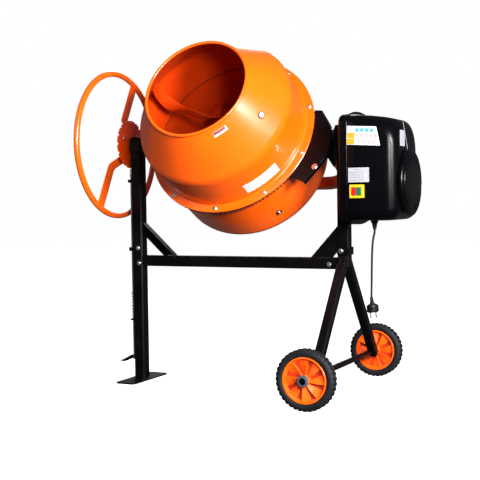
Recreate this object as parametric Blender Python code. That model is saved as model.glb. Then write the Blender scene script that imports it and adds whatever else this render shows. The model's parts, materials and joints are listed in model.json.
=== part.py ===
"""Electric drum concrete mixer: a tilting drum in a yoke, on a wheeled stand.

Metres, +Z up. +X points to the motor side, -Y is the side that the drum mouth faces. The origin
is on the floor, under the middle of the machine.
"""

from math import acos, atan2, cos, hypot, pi, radians, sin, tan

import bmesh
import bpy
from mathutils import Matrix, Vector

# ---------------------------------------------------------------- driving dimensions
GAP = 0.0003            # clearance between touching pieces
SHEET = 0.002           # wall of the drum, the housing and the guard
TUBE_WALL = 0.0025      # wall of the frame tubes

TILT_Z = 0.889          # height of the tilting axis
TILT_DEG = 28.2         # drum axis above the horizontal at rest
DRUM_X = -0.068         # plane of the drum axis

# drum: radii and distances along its axis, measured from the tilting axis
MOUTH_R, MOUTH_S = 0.185, 0.338
SHOULDER_R, SHOULDER_S, SHOULDER_ROUND = 0.2874, 0.178, 0.055
FLANGE_R, FLANGE_S, FLANGE_SHEET = 0.3143, 0.0397, 0.0025
BOWL_R, BOWL_S, BOWL_ROUND = 0.295, -0.217, 0.055
BOWL_TIP_S = -0.245     # bottom of the bowl, on the axis
LIP_R = 0.0055          # rolled edge of the mouth
DRUM_SIDES = 40

# crown gear and pinion
RING_TEETH, PINION_TEETH = 132, 12
PINION_IN, PINION_OUT = 0.297, 0.3165       # faces of the pinion, from the drum axis
PITCH_R = (PINION_IN + PINION_OUT) / 2 * PINION_TEETH / RING_TEETH
ADDENDUM, DEDENDUM = 0.0040, 0.0053
TOOTH_HALF = 0.0027     # half a tooth's thickness on the pitch line
PRESSURE = tan(radians(20))

# yoke and its bearings
ARM_X = 0.337           # middle of an arm, from the drum axis
ARM_T, ARM_H = 0.030, 0.045
YOKE_S, YOKE_BEND = -0.335, 0.100
TRUNNION_R = 0.015      # solid trunnion, handwheel side
HOLLOW_R, HOLLOW_BORE = 0.024, 0.015        # hollow trunnion, motor side
SHAFT_R = 0.009         # drive shaft

# stand
LEG_X, LEG = -0.480, 0.043
POST_X, TUBE = 0.346, 0.040
RAIL_Z = 0.448
WHEEL_LEG = 0.032
AXLE_X, AXLE_R = 0.340, 0.010
WHEEL_R, WHEEL_Y, WHEEL_W, RIM_R = 0.100, 0.350, 0.042, 0.0745
WHEEL_SIDES = 28
FOOT = (0.082, 0.250, 0.006)
FOOT_X, FOOT_Y = -0.462, -0.030

# handwheel and lock
WHEEL_PLANE = -0.572    # plane of the handwheel rim
HAND_R, HAND_TUBE = 0.2697, 0.011
SPOKE_W, SPOKE_T = 0.040, 0.004
DISC_X, DISC_T, DISC_R = -0.514, 0.005, 0.090
NOTCHES, NOTCH_W, NOTCH_DEPTH = 16, 0.008, 0.008
ROD_X, ROD_R = -0.5135, 0.004
PIVOT_Y, PIVOT_Z = 0.0175, 0.078
SPRING_LOW, SPRING_HIGH = 0.2245, 0.3220

# motor unit
HOUSING_X = (0.371, 0.404, 0.5735)          # back wall, joint of the shells, outer wall
HOUSING_Y = 0.1286
HOUSING_Z = (0.597, 0.952)
MOTOR_Z = 0.722
PULLEY_X = (0.379, 0.397)
PULLEY_R, MOTOR_PULLEY_R = 0.055, 0.011
FAN_COVER_R = 0.112
SWITCH_X, SWITCH_Z = 0.4393, 0.6948
GLAND_X, GLAND_Y = 0.465, -0.030
CORD_D = 0.007

HALF_LEG, HALF_TUBE = LEG / 2, TUBE / 2
RAIL_LOW, RAIL_HIGH = RAIL_Z - HALF_TUBE, RAIL_Z + HALF_TUBE


# ---------------------------------------------------------------- colours
def material(name, colour, roughness, metallic=0.0):
    made = bpy.data.materials.new(name)
    made.use_nodes = True
    shader = made.node_tree.nodes["Principled BSDF"]
    shader.inputs["Base Color"].default_value = (*colour, 1.0)
    shader.inputs["Roughness"].default_value = roughness
    shader.inputs["Metallic"].default_value = metallic
    made.diffuse_color = (*colour, 1.0)
    return made


ORANGE = (0.95, 0.20, 0.01)
BLACK = (0.012, 0.012, 0.014)
ZINC = (0.62, 0.62, 0.60)
STEEL = (0.42, 0.42, 0.43)
RUBBER = (0.018, 0.019, 0.020)


# ---------------------------------------------------------------- mesh helpers
def clear_scene():
    for thing in list(bpy.data.objects):
        bpy.data.objects.remove(thing, do_unlink=True)


def empty(name, parent=None, location=(0, 0, 0), rotation=(0, 0, 0)):
    made = bpy.data.objects.new(name, None)
    bpy.context.scene.collection.objects.link(made)
    made.parent = parent
    made.location = location
    made.rotation_euler = rotation
    return made


def add(name, bm, colour, roughness=0.4, metallic=0.0, parent=None, matrix=None, smooth=30):
    """Turns a bmesh into a named object with its own material."""
    bmesh.ops.remove_doubles(bm, verts=bm.verts, dist=1e-6)
    bmesh.ops.recalc_face_normals(bm, faces=bm.faces)
    mesh = bpy.data.meshes.new(name)
    bm.to_mesh(mesh)
    bm.free()
    if smooth:
        mesh.shade_smooth()
        mesh.set_sharp_from_angle(angle=radians(smooth))
    made = bpy.data.objects.new(name, mesh)
    bpy.context.scene.collection.objects.link(made)
    mesh.materials.append(material(name, colour, roughness, metallic))
    made.parent = parent
    if matrix is not None:
        made.matrix_local = matrix
    return made


def cutter(name, bm, parent=None, matrix=None):
    """A guide that a Boolean takes away; it is never drawn."""
    made = add(name, bm, ZINC, parent=parent, matrix=matrix, smooth=0)
    made.hide_render = True
    made.display_type = "WIRE"
    return made


def boolean(target, other, operation):
    """Applies a Boolean at once; both objects share one parent frame."""
    changed = target.modifiers.new(operation.lower(), "BOOLEAN")
    changed.operation = operation
    changed.object = other
    bpy.context.view_layer.update()
    graph = bpy.context.evaluated_depsgraph_get()
    mesh = bpy.data.meshes.new_from_object(target.evaluated_get(graph))
    target.modifiers.clear()
    old = target.data
    target.data = mesh
    bpy.data.meshes.remove(old)
    bpy.data.objects.remove(other, do_unlink=True)
    mesh.shade_smooth()
    mesh.set_sharp_from_angle(angle=radians(30))
    return target


def turned(profile, steps, closed=True):
    """A profile of (radius, height) points turned round the local Z axis."""
    bm = bmesh.new()
    points = [bm.verts.new((r, 0, h)) for r, h in profile]
    pairs = list(zip(points, points[1:]))
    if closed:
        pairs.append((points[-1], points[0]))
    edges = [bm.edges.new(pair) for pair in pairs]
    bmesh.ops.spin(
        bm, geom=points + edges, cent=(0, 0, 0), axis=(0, 0, 1),
        angle=2 * pi, steps=steps, use_merge=True,
    )
    return bm


def disc_profile(r_in, r_out, low, high):
    return [(r_in, low), (r_out, low), (r_out, high), (r_in, high)]


def rod_profile(radius, low, high):
    return [(0, low), (radius, low), (radius, high), (0, high)]


def extruded(outline, low, high, plane="XZ"):
    """A flat outline given a thickness along the axis that the plane leaves out."""
    place = {
        "XY": lambda u, v, w: (u, v, w),
        "XZ": lambda u, v, w: (u, w, v),
        "YZ": lambda u, v, w: (w, u, v),
    }[plane]
    bm = bmesh.new()
    face = bm.faces.new([bm.verts.new(place(u, v, low)) for u, v in outline])
    grown = bmesh.ops.extrude_face_region(bm, geom=[face])
    moved = [item for item in grown["geom"] if isinstance(item, bmesh.types.BMVert)]
    bmesh.ops.translate(bm, verts=moved, vec=place(0, 0, high - low))
    return bm


def block(x, y, z):
    return extruded([(x[0], y[0]), (x[1], y[0]), (x[1], y[1]), (x[0], y[1])], z[0], z[1], "XY")


def bevelled(bm, width, segments=1):
    sharp = [edge for edge in bm.edges if edge.calc_face_angle(0) > radians(40)]
    bmesh.ops.bevel(bm, geom=sharp, offset=width, segments=segments, affect="EDGES")
    return bm


def ring_outline(half_u, half_v, corner, per_corner, between=0):
    """A rounded rectangle round the origin, with extra points along its straight sides if asked."""
    points = []
    for number, (su, sv) in enumerate(((1, 1), (-1, 1), (-1, -1), (1, -1))):
        for step in range(per_corner + 1):
            turn = pi / 2 * (number + step / per_corner)
            points.append((
                su * (half_u - corner) + corner * cos(turn),
                sv * (half_v - corner) + corner * sin(turn),
            ))
    if not between:
        return points
    full = []
    for i, (u, v) in enumerate(points):
        full.append((u, v))
        if (i + 1) % (per_corner + 1) == 0:
            u_next, v_next = points[(i + 1) % len(points)]
            for step in range(1, between + 1):
                part = step / (between + 1)
                full.append((u + (u_next - u) * part, v + (v_next - v) * part))
    return full


def bridged(rings, cap_first=True, cap_last=True, loop=False):
    """Rings of equally many points, joined one to the next."""
    bm = bmesh.new()
    rows = [[bm.verts.new(point) for point in ring] for ring in rings]
    pairs = list(zip(rows, rows[1:]))
    if loop:
        pairs.append((rows[-1], rows[0]))
    count = len(rows[0])
    for low, high in pairs:
        for i in range(count):
            j = (i + 1) % count
            bm.faces.new((low[i], low[j], high[j], high[i]))
    if not loop and cap_first:
        bm.faces.new(rows[0])
    if not loop and cap_last:
        bm.faces.new(rows[-1])
    return bm


def hollow_bar(half_u, half_v, wall, length, corner=0.004):
    """A square tube along local Z, open at both ends."""
    outer = ring_outline(half_u, half_v, corner, 1)
    inner = ring_outline(half_u - wall, half_v - wall, corner - wall / 2, 1)
    rings = [
        [(u, v, 0) for u, v in outer],
        [(u, v, length) for u, v in outer],
        [(u, v, length) for u, v in inner],
        [(u, v, 0) for u, v in inner],
    ]
    return bridged(rings, loop=True)


def along(start, end, side=(1, 0, 0)):
    """A frame whose local Z runs from start to end and whose local X is the given side."""
    z_axis = (Vector(end) - Vector(start)).normalized()
    y_axis = z_axis.cross(Vector(side)).normalized()
    x_axis = y_axis.cross(z_axis)
    turn = Matrix((x_axis, y_axis, z_axis)).transposed().to_4x4()
    return Matrix.Translation(start) @ turn


def swept(path, half_u, half_v, corner=0.0, wall=0.0):
    """A rectangular bar bent along a path in the local XZ plane; half_v lies along Y.

    With a wall it is a tube, open at both ends.
    """
    rings = path_rings(path, half_u, half_v, corner)
    if not wall:
        return bridged(rings)
    inside = path_rings(path, half_u - wall, half_v - wall, corner - wall / 2)
    return bridged(rings + inside[::-1], loop=True)


def path_rings(path, half_u, half_v, corner):
    rings = []
    for i, (x, z) in enumerate(path):
        before = path[max(i - 1, 0)]
        after = path[min(i + 1, len(path) - 1)]
        here = Vector((x, z))
        first = (here - Vector(before)).normalized() if i else None
        second = (Vector(after) - here).normalized() if i < len(path) - 1 else None
        first = first or second
        second = second or first
        run = (first + second).normalized()
        across = Vector((-run.y, run.x)) / max(run.dot(first), 0.3)
        if corner:
            outline = ring_outline(half_u, half_v, corner, 1)
        else:
            outline = [(half_u, half_v), (-half_u, half_v), (-half_u, -half_v), (half_u, -half_v)]
        rings.append([(x + across.x * u, v, z + across.y * u) for u, v in outline])
    return rings


def arc(centre, radius, start, end, steps):
    """Points on an arc; angles in degrees."""
    turns = [radians(start + (end - start) * i / steps) for i in range(steps + 1)]
    return [(centre[0] + radius * cos(a), centre[1] + radius * sin(a)) for a in turns]


def screw_bolt(head_r, washer_r):
    """A hexagon head on its washer; the washer lies on the local plane z = 0."""
    thick, head = 0.0015, head_r * 0.62

    def ring(radius, height, six=False):
        points = []
        for i in range(12):
            reach = radius * (cos(pi / 6) if six and i % 2 else 1)
            points.append((reach * cos(i * pi / 6), reach * sin(i * pi / 6), height))
        return points

    return bridged([
        ring(washer_r, 0), ring(washer_r, thick),
        ring(head_r, thick, True), ring(head_r, thick + head, True),
    ])


TO_X = Matrix.Rotation(pi / 2, 4, "Y")      # local Z becomes +X
TO_Y = Matrix.Rotation(-pi / 2, 4, "X")     # local Z becomes +Y
TO_FRONT = Matrix.Rotation(pi / 2, 4, "X")  # local Z becomes -Y


def at(x, y, z, turn=None):
    return Matrix.Translation((x, y, z)) @ (turn or Matrix())


# ---------------------------------------------------------------- stand
def build_stand():
    leg_low, leg_high = FOOT[2] + GAP, 0.856
    add("left_leg", hollow_bar(HALF_LEG, HALF_LEG, TUBE_WALL, leg_high - leg_low),
        BLACK, 0.35, matrix=at(LEG_X, 0, leg_low))

    half_x, half_y, cut = FOOT[0] / 2, FOOT[1] / 2, 0.010
    plate = [
        (-half_x + cut, -half_y), (half_x - cut, -half_y), (half_x, -half_y + cut),
        (half_x, half_y - cut), (half_x - cut, half_y), (-half_x + cut, half_y),
        (-half_x, half_y - cut), (-half_x, -half_y + cut),
    ]
    add("foot_plate", extruded(plate, 0, FOOT[2], "XY"), BLACK, 0.4, matrix=at(FOOT_X, FOOT_Y, 0))

    rail_low, rail_high = LEG_X + HALF_LEG + GAP, POST_X - HALF_TUBE - GAP
    add("crossbar", hollow_bar(HALF_TUBE, HALF_TUBE, TUBE_WALL, rail_high - rail_low),
        BLACK, 0.35, matrix=at(rail_low, 0, RAIL_Z, TO_X))

    post_low, post_high = 0.4355, 0.8217
    add("right_post", hollow_bar(HALF_TUBE, HALF_TUBE, TUBE_WALL, post_high - post_low),
        BLACK, 0.35, matrix=at(POST_X, 0, post_low))

    brace("left_brace", rail_low, 0.592, 0.551, 0.1347, 0.0903, open_front=True)
    brace("right_brace", rail_high, 0.578, 0.499, -0.1002, -0.0272, open_front=False)

    back, front, side = POST_X + HALF_TUBE, POST_X - HALF_TUBE + GAP, HALF_TUBE
    fold = 0.004
    sleeve = [
        (front, side + GAP), (back + GAP, side + GAP), (back + GAP, -side - GAP),
        (front, -side - GAP), (front, -side - fold), (back + fold, -side - fold),
        (back + fold, side + fold), (front, side + fold),
    ]
    add("leg_bracket", extruded(sleeve, 0.478, 0.505, "XY"), BLACK, 0.4)

    for name, way in (("front_wheel_leg", -1), ("rear_wheel_leg", 1)):
        top, foot = Vector((POST_X, 0, 0.476)), Vector((POST_X, way * 0.300, 0.092))
        half, seat = WHEEL_LEG / 2, HALF_TUBE + GAP
        leg = add(name, hollow_bar(half, half, TUBE_WALL, (foot - top).length),
                  BLACK, 0.35, matrix=along(top, foot))
        boolean(leg, cutter("leg_seat", block((0.3, 0.4), (-seat, seat), (0.3, 0.6))), "DIFFERENCE")
        hole = turned(rod_profile(AXLE_R + GAP, -0.05, 0.05), 16, closed=False)
        boolean(leg, cutter("axle_hole", hole, matrix=at(AXLE_X, way * 0.296, WHEEL_R, TO_Y)),
                "DIFFERENCE")

    reach = WHEEL_Y + 0.018
    add("axle", turned(rod_profile(AXLE_R, -reach, reach), 16, closed=False),
        BLACK, 0.4, 0.3, matrix=at(AXLE_X, 0, WHEEL_R, TO_Y))

    bore_block("left_bearing_block", LEG_X - HALF_LEG, LEG_X + HALF_LEG, 0.026,
               (leg_high + GAP, 0.915), TRUNNION_R + GAP)
    bore_block("right_bearing_block", POST_X - HALF_TUBE - 0.0045, POST_X + HALF_TUBE, 0.030,
               (post_high + GAP, 0.925), HOLLOW_R + GAP)


def line_inside(start, end, inset, reach):
    """A line moved sideways by inset (left of its run is positive) and made longer at both ends."""
    run = (Vector(end) - Vector(start)).normalized()
    shift = Vector((-run.y, run.x)) * inset
    return Vector(start) + shift - run * reach, Vector(end) + shift + run * reach


def brace(name, wall_x, high, low, outer_run, inner_run, open_front):
    """A folded channel between an upright and the crossbar."""
    half, fold, base, reach = 0.015, SHEET, RAIL_HIGH + GAP, 0.03
    top, low_end = (wall_x, high), (wall_x + outer_run, base)
    inner_top, inner_end = (wall_x, low), (wall_x + inner_run, base)
    made = add(name, extruded([top, low_end, inner_end, inner_top], -half, half), BLACK, 0.35)
    inward = -fold if outer_run > 0 else fold
    outer = line_inside(top, low_end, inward, reach)
    inner = line_inside(inner_top, inner_end, -inward, reach)
    depth = (-half - reach, half - fold) if open_front else (fold - half, half + reach)
    pocket = extruded([outer[0], outer[1], inner[1], inner[0]], *depth)
    return boolean(made, cutter("pocket", pocket), "DIFFERENCE")


def bore_block(name, low_x, high_x, half, z, bore):
    """A bearing block with a bore along the tilting axis and a rounded top."""
    crown = z[1] - half * 0.5
    outline = [(-half, z[0]), (half, z[0]), (half, crown), (half * 0.5, z[1]),
               (-half * 0.5, z[1]), (-half, crown)]
    made = add(name, extruded(outline, low_x, high_x, "YZ"), BLACK, 0.4)
    hole = turned(rod_profile(bore, low_x - 0.01, high_x + 0.01), 24, closed=False)
    return boolean(made, cutter("bore", hole, matrix=at(0, 0, TILT_Z, TO_X)), "DIFFERENCE")


# ---------------------------------------------------------------- drum, on its own axis
def shoulder_profile(inset):
    """The upper drum from the flange to the mouth, moved inwards by inset."""
    centre = (SHOULDER_R - SHOULDER_ROUND, SHOULDER_S)
    reach = SHOULDER_ROUND - inset
    mouth = (MOUTH_R - inset * 0.8, MOUTH_S - inset * 0.6)
    away = (mouth[0] - centre[0], mouth[1] - centre[1])
    lean = atan2(away[1], away[0]) - acos(reach / hypot(*away))
    band = [(SHOULDER_R - inset - 0.001, FLANGE_S + FLANGE_SHEET)]
    return band + arc(centre, reach, 0, lean * 180 / pi, 4) + [mouth]


def bowl_profile(inset):
    """The lower drum from the flange to its middle, moved inwards by inset."""
    centre = (BOWL_R - BOWL_ROUND, BOWL_S + BOWL_ROUND)
    wall = [(BOWL_R - inset, FLANGE_S - FLANGE_SHEET - GAP)]
    return wall + arc(centre, BOWL_ROUND - inset, 0, -84, 4) + [(0, BOWL_TIP_S + inset)]


def build_drum(axis):
    outer, inner = shoulder_profile(0), shoulder_profile(SHEET)
    lip = arc((MOUTH_R, MOUTH_S), LIP_R, -40, 170, 4)
    flange = FLANGE_S + FLANGE_SHEET
    upper = (
        [(inner[0][0], FLANGE_S), (FLANGE_R, FLANGE_S), (FLANGE_R, flange)]
        + outer[:-1] + lip + list(reversed(inner[1:-1]))
    )
    add("drum_upper", turned(upper, DRUM_SIDES), ORANGE, 0.25, parent=axis)

    outer, inner = bowl_profile(0), bowl_profile(SHEET)
    low_face = FLANGE_S - GAP - FLANGE_SHEET
    lower = (
        list(reversed(outer)) + [(FLANGE_R, low_face), (FLANGE_R, low_face + FLANGE_SHEET)]
        + [(inner[0][0], low_face + FLANGE_SHEET)] + inner[1:]
    )
    add("drum_lower", turned(lower, DRUM_SIDES, closed=False), ORANGE, 0.25, parent=axis)

    add("ring_gear", crown_gear(low_face - GAP), STEEL, 0.5, 0.8, parent=axis)

    hub_low, hub_high = BOWL_TIP_S - 0.006 - GAP, BOWL_TIP_S - GAP
    hub = [(0, hub_low - 0.062), (TRUNNION_R, hub_low - 0.062), (TRUNNION_R, hub_low),
           (0.060, hub_low), (0.060, hub_high), (0, hub_high)]
    add("drum_hub", turned(hub, 24, closed=False), STEEL, 0.45, 0.9, parent=axis)

    for name, start in (("mixing_paddle_1", -18), ("mixing_paddle_2", 162)):
        add(name, paddle(start), ORANGE, 0.35, parent=axis)


def crown_gear(top):
    """A flat ring whose straight teeth point down the drum axis."""
    root, tip = PITCH_R + DEDENDUM, PITCH_R - ADDENDUM
    widths = (TOOTH_HALF + DEDENDUM * PRESSURE, TOOTH_HALF - ADDENDUM * PRESSURE)
    inner, outer = PINION_IN - 0.0015, FLANGE_R - 0.0010
    middle = (inner + outer) / 2
    bm = bmesh.new()

    def vertex(radius, turn, z):
        return bm.verts.new((radius * cos(turn), radius * sin(turn), z))

    walls = []
    for radius in (inner, outer):
        teeth = []
        for tooth in range(RING_TEETH):
            centre = 2 * pi * (tooth + 0.5) / RING_TEETH
            steps = ((-widths[0], root), (-widths[1], tip), (widths[1], tip), (widths[0], root))
            points = [vertex(radius, centre + offset / middle, height) for offset, height in steps]
            teeth.append((points, vertex(radius, centre, top)))
        walls.append(teeth)
    for teeth in walls:
        for i, (points, crown) in enumerate(teeth):
            after, next_crown = teeth[(i + 1) % RING_TEETH]
            for low, high in zip(points, points[1:]):
                bm.faces.new((low, high, crown))
            bm.faces.new((points[-1], after[0], next_crown, crown))
    for i in range(RING_TEETH):
        (near, near_crown), (far, far_crown) = walls[0][i], walls[1][i]
        (near_after, near_next), (far_after, far_next) = (wall[(i + 1) % RING_TEETH] for wall in walls)
        loop_near, loop_far = near + [near_after[0]], far + [far_after[0]]
        for a, b, c, d in zip(loop_near, loop_near[1:], loop_far[1:], loop_far):
            bm.faces.new((a, b, c, d))
        bm.faces.new((near_crown, near_next, far_next, far_crown))
    return bm


def paddle(start):
    """A bowed blade from the cone to the bowl: it stands off the wall and leans back as it goes down."""
    stations = [
        (0.262, 0.2275, 0, 0.016, 0), (0.200, 0.245, -1, 0.019, 15), (0.120, 0.228, -2, 0.024, 42),
        (0.060, 0.206, -9, 0.026, 58), (0.000, 0.180, -17, 0.026, 52), (-0.055, 0.205, -27, 0.024, 40),
        (-0.110, 0.284, -36, 0.016, 0),
    ]
    rings = []
    for height, reach, offset, half, lean in smooth_route(stations, 2):
        turn, tilt = radians(start + offset), radians(lean)
        ring = []
        for u, v in ((half, 0.002), (-half, 0.002), (-half, -0.002), (half, -0.002)):
            sideways, outwards = u * cos(tilt) - v * sin(tilt), u * sin(tilt) + v * cos(tilt)
            r = reach + outwards
            ring.append((
                r * cos(turn) - sideways * sin(turn), r * sin(turn) + sideways * cos(turn), height,
            ))
        rings.append(ring)
    blade = bridged(rings)
    bmesh.ops.triangulate(blade, faces=blade.faces)
    return blade


# ---------------------------------------------------------------- yoke and tilting parts
def build_yoke(tilt, axis):
    inner = YOKE_BEND
    corner = (ARM_X - inner, YOKE_S + inner)
    half = [(ARM_X, 0.028), (ARM_X, corner[1])] + arc(corner, inner, 0, -90, 6)[1:]
    path = half + [(-x, s) for x, s in reversed(half)]
    yoke = add("yoke", swept(path, ARM_T / 2, ARM_H / 2, 0.006, TUBE_WALL), ORANGE, 0.3, parent=axis)
    hole = turned(rod_profile(SHAFT_R + 0.002, ARM_X - 0.05, ARM_X + 0.05), 16, closed=False)
    boolean(yoke, cutter("shaft_hole", hole, parent=axis, matrix=TO_X), "DIFFERENCE")
    seat = YOKE_S + ARM_T / 2 + GAP
    bearing = [(TRUNNION_R + GAP, seat), (0.044, seat), (0.044, seat + 0.006),
               (0.030, seat + 0.008), (0.028, seat + 0.042), (TRUNNION_R + GAP, seat + 0.042)]
    add("drum_bearing", turned(bearing, 20), BLACK, 0.4, 0.6, parent=axis)

    arm_out = ARM_X + ARM_T / 2 + GAP
    left_end = DRUM_X - arm_out
    nut = (-0.5455, -0.5300)
    add("left_trunnion", turned(rod_profile(TRUNNION_R, nut[0] - 0.002, left_end), 24, closed=False),
        STEEL, 0.4, 0.9, parent=tilt, matrix=TO_X)
    add("right_trunnion",
        turned(disc_profile(HOLLOW_BORE, HOLLOW_R, DRUM_X + arm_out, 0.3695), 24),
        STEEL, 0.4, 0.9, parent=tilt, matrix=TO_X)
    add("shaft_bearing", turned(disc_profile(SHAFT_R + GAP, HOLLOW_BORE - GAP, 0.352, 0.364), 16),
        ZINC, 0.3, 1.0, parent=tilt, matrix=TO_X)

    add("locking_disc", notched_disc(), ORANGE, 0.35, parent=tilt, matrix=at(DISC_X, 0, 0, TO_X))
    spacer = (DISC_X - DISC_T / 2 - GAP, -0.5275 + SPOKE_T / 2 + GAP)
    add("handwheel_spacer",
        turned(disc_profile(TRUNNION_R + GAP, 0.030, spacer[1], spacer[0]), 20),
        STEEL, 0.4, 0.9, parent=tilt, matrix=TO_X)
    build_handwheel(axis)
    outline = [(0.022 * cos(i * pi / 3), 0.022 * sin(i * pi / 3)) for i in range(6)]
    hexagon = add("trunnion_nut", extruded(outline, *nut, "XY"), ZINC, 0.3, 1.0,
                  parent=tilt, matrix=TO_X)
    hole = turned(rod_profile(TRUNNION_R + GAP, -1, 1), 24, closed=False)
    boolean(hexagon, cutter("nut_bore", hole, parent=tilt, matrix=TO_X), "DIFFERENCE")
    build_guard(axis)


def notched_disc():
    """The disc that the lock drops into: one notch every 22.5 degrees, one of them straight down."""
    outer = []
    half = NOTCH_W / 2
    for notch in range(NOTCHES):
        centre = pi + 2 * pi * notch / NOTCHES
        edge = half / DISC_R
        floor = (DISC_R - NOTCH_DEPTH) * cos(edge)
        for side in (-1, 1):
            across = side * half
            corner = (floor * cos(centre) - across * sin(centre),
                      floor * sin(centre) + across * cos(centre))
            rim = (DISC_R * cos(centre + side * edge), DISC_R * sin(centre + side * edge))
            outer += [rim, corner] if side < 0 else [corner, rim]
    bore = TRUNNION_R + GAP
    inner = []
    for x, y in outer:
        turn = atan2(y, x)
        inner.append((bore * cos(turn), bore * sin(turn)))
    half_t = DISC_T / 2
    rings = [[(x, y, z) for x, y in points] for points, z in (
        (outer, -half_t), (outer, half_t), (inner, half_t), (inner, -half_t),
    )]
    return bridged(rings, loop=True)


def build_handwheel(axis):
    """A round rim and one flat strip, cranked inwards to the middle, welded together."""
    plane, middle = WHEEL_PLANE - DRUM_X, -0.5275 - DRUM_X
    ring = [(HAND_R + HAND_TUBE * cos(a), HAND_TUBE * sin(a))
            for a in (pi / 6 + pi / 3 * i for i in range(6))]
    rim = add("handwheel", turned(ring, 40), ORANGE, 0.3, parent=axis,
              matrix=at(plane, 0, 0, TO_X))
    end, crank, foot = HAND_R - 0.003, 0.095, 0.055
    path = [(-end, 0), (-crank, 0), (-foot, middle - plane), (foot, middle - plane), (crank, 0), (end, 0)]
    strip = swept(path, SPOKE_T / 2, SPOKE_W / 2)
    turn = at(plane, 0, 0, TO_X) @ Matrix.Rotation(pi / 2, 4, "Z")
    spokes = cutter("spokes", strip, parent=axis, matrix=turn)
    boolean(rim, spokes, "UNION")
    hole = turned(rod_profile(TRUNNION_R + GAP, -1, 1), 24, closed=False)
    boolean(rim, cutter("hub_bore", hole, parent=axis, matrix=TO_X), "DIFFERENCE")


def build_guard(axis):
    """A folded cover over the pinion: a front plate with a wall along its outer edge."""
    front, back = 0.0410, -0.045
    edge = arc((0, 0), 0.3185, 15, -34, 8)
    corners = [(0.318, -0.203), (0.372, -0.120), (0.386, -0.085), (0.386, -0.005), (0.336, 0.080)]
    outline = edge + corners
    guard = add("pinion_guard", extruded(outline, back, front, "XY"), BLACK, 0.4, parent=axis)
    inside = arc((0, 0), 0.29, 24, -48, 8)
    pocket = inside + [(corners[0][0] - 0.010, -0.26)]
    pocket += [(x - SHEET, y + lift) for (x, y), lift in zip(corners[:2], (0.003, 0.002))]
    pocket += [(x - SHEET, y) for x, y in corners[2:4]]
    pocket += [(corners[4][0] - 0.004, corners[4][1] - 0.002), (0.330, 0.150)]
    inner = extruded(pocket, back - 0.02, front - SHEET, "XY")
    boolean(guard, cutter("guard_pocket", inner, parent=axis), "DIFFERENCE")
    slot = turned(rod_profile(HOLLOW_R + 0.004, 0.30, 0.45), 20, closed=False)
    boolean(guard, cutter("guard_slot", slot, parent=axis, matrix=TO_X), "DIFFERENCE")
    below = block((0.20, 0.45), (-0.30, -0.098), (back - 0.02, 0.022))
    boolean(guard, cutter("guard_foot", below, parent=axis), "DIFFERENCE")
    add("guard_bolt", screw_bolt(0.0075, 0.0110), ZINC, 0.3, 1.0, parent=axis,
        matrix=at(0.348, -0.145, front + GAP))


# ---------------------------------------------------------------- drive
def build_drive(tilt):
    root, tip = PITCH_R - DEDENDUM, PITCH_R + ADDENDUM
    widths = (TOOTH_HALF + DEDENDUM * PRESSURE, TOOTH_HALF - ADDENDUM * PRESSURE)
    outline = []
    for tooth in range(PINION_TEETH):
        centre = 2 * pi * tooth / PINION_TEETH
        for offset, radius in ((-widths[0], root), (-widths[1], tip), (widths[1], tip), (widths[0], root)):
            turn = centre + atan2(offset, radius)
            outline.append((hypot(offset, radius) * cos(turn), hypot(offset, radius) * sin(turn)))
    pinion = empty("pinion_axis", tilt, rotation=(-radians(TILT_DEG), 0, 0))
    bore = [((SHAFT_R + GAP) * cos(atan2(y, x)), (SHAFT_R + GAP) * sin(atan2(y, x))) for x, y in outline]
    low, high = DRUM_X + PINION_IN, DRUM_X + PINION_OUT
    rings = [[(x, y, z) for x, y in points] for points, z in (
        (outline, low), (outline, high), (bore, high), (bore, low),
    )]
    first_up = Matrix.Rotation(pi / 2, 4, "Z")
    add("pinion", bridged(rings, loop=True), STEEL, 0.45, 0.9, parent=pinion, matrix=TO_X @ first_up)
    add("drive_shaft", turned(rod_profile(SHAFT_R, low - 0.001, PULLEY_X[1] + 0.0015), 16, closed=False),
        STEEL, 0.35, 1.0, parent=tilt, matrix=TO_X)
    add("large_pulley", turned(pulley(PULLEY_R, SHAFT_R + GAP), 24), BLACK, 0.5, parent=tilt, matrix=TO_X)


def pulley(radius, bore):
    """A flat-belt pulley with a low flange at each side."""
    low, high = PULLEY_X
    rim = 0.0018
    return [
        (bore, low), (radius + rim, low), (radius + rim, low + 0.0015), (radius, low + 0.0015),
        (radius, high - 0.0015), (radius + rim, high - 0.0015), (radius + rim, high), (bore, high),
    ]


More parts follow.
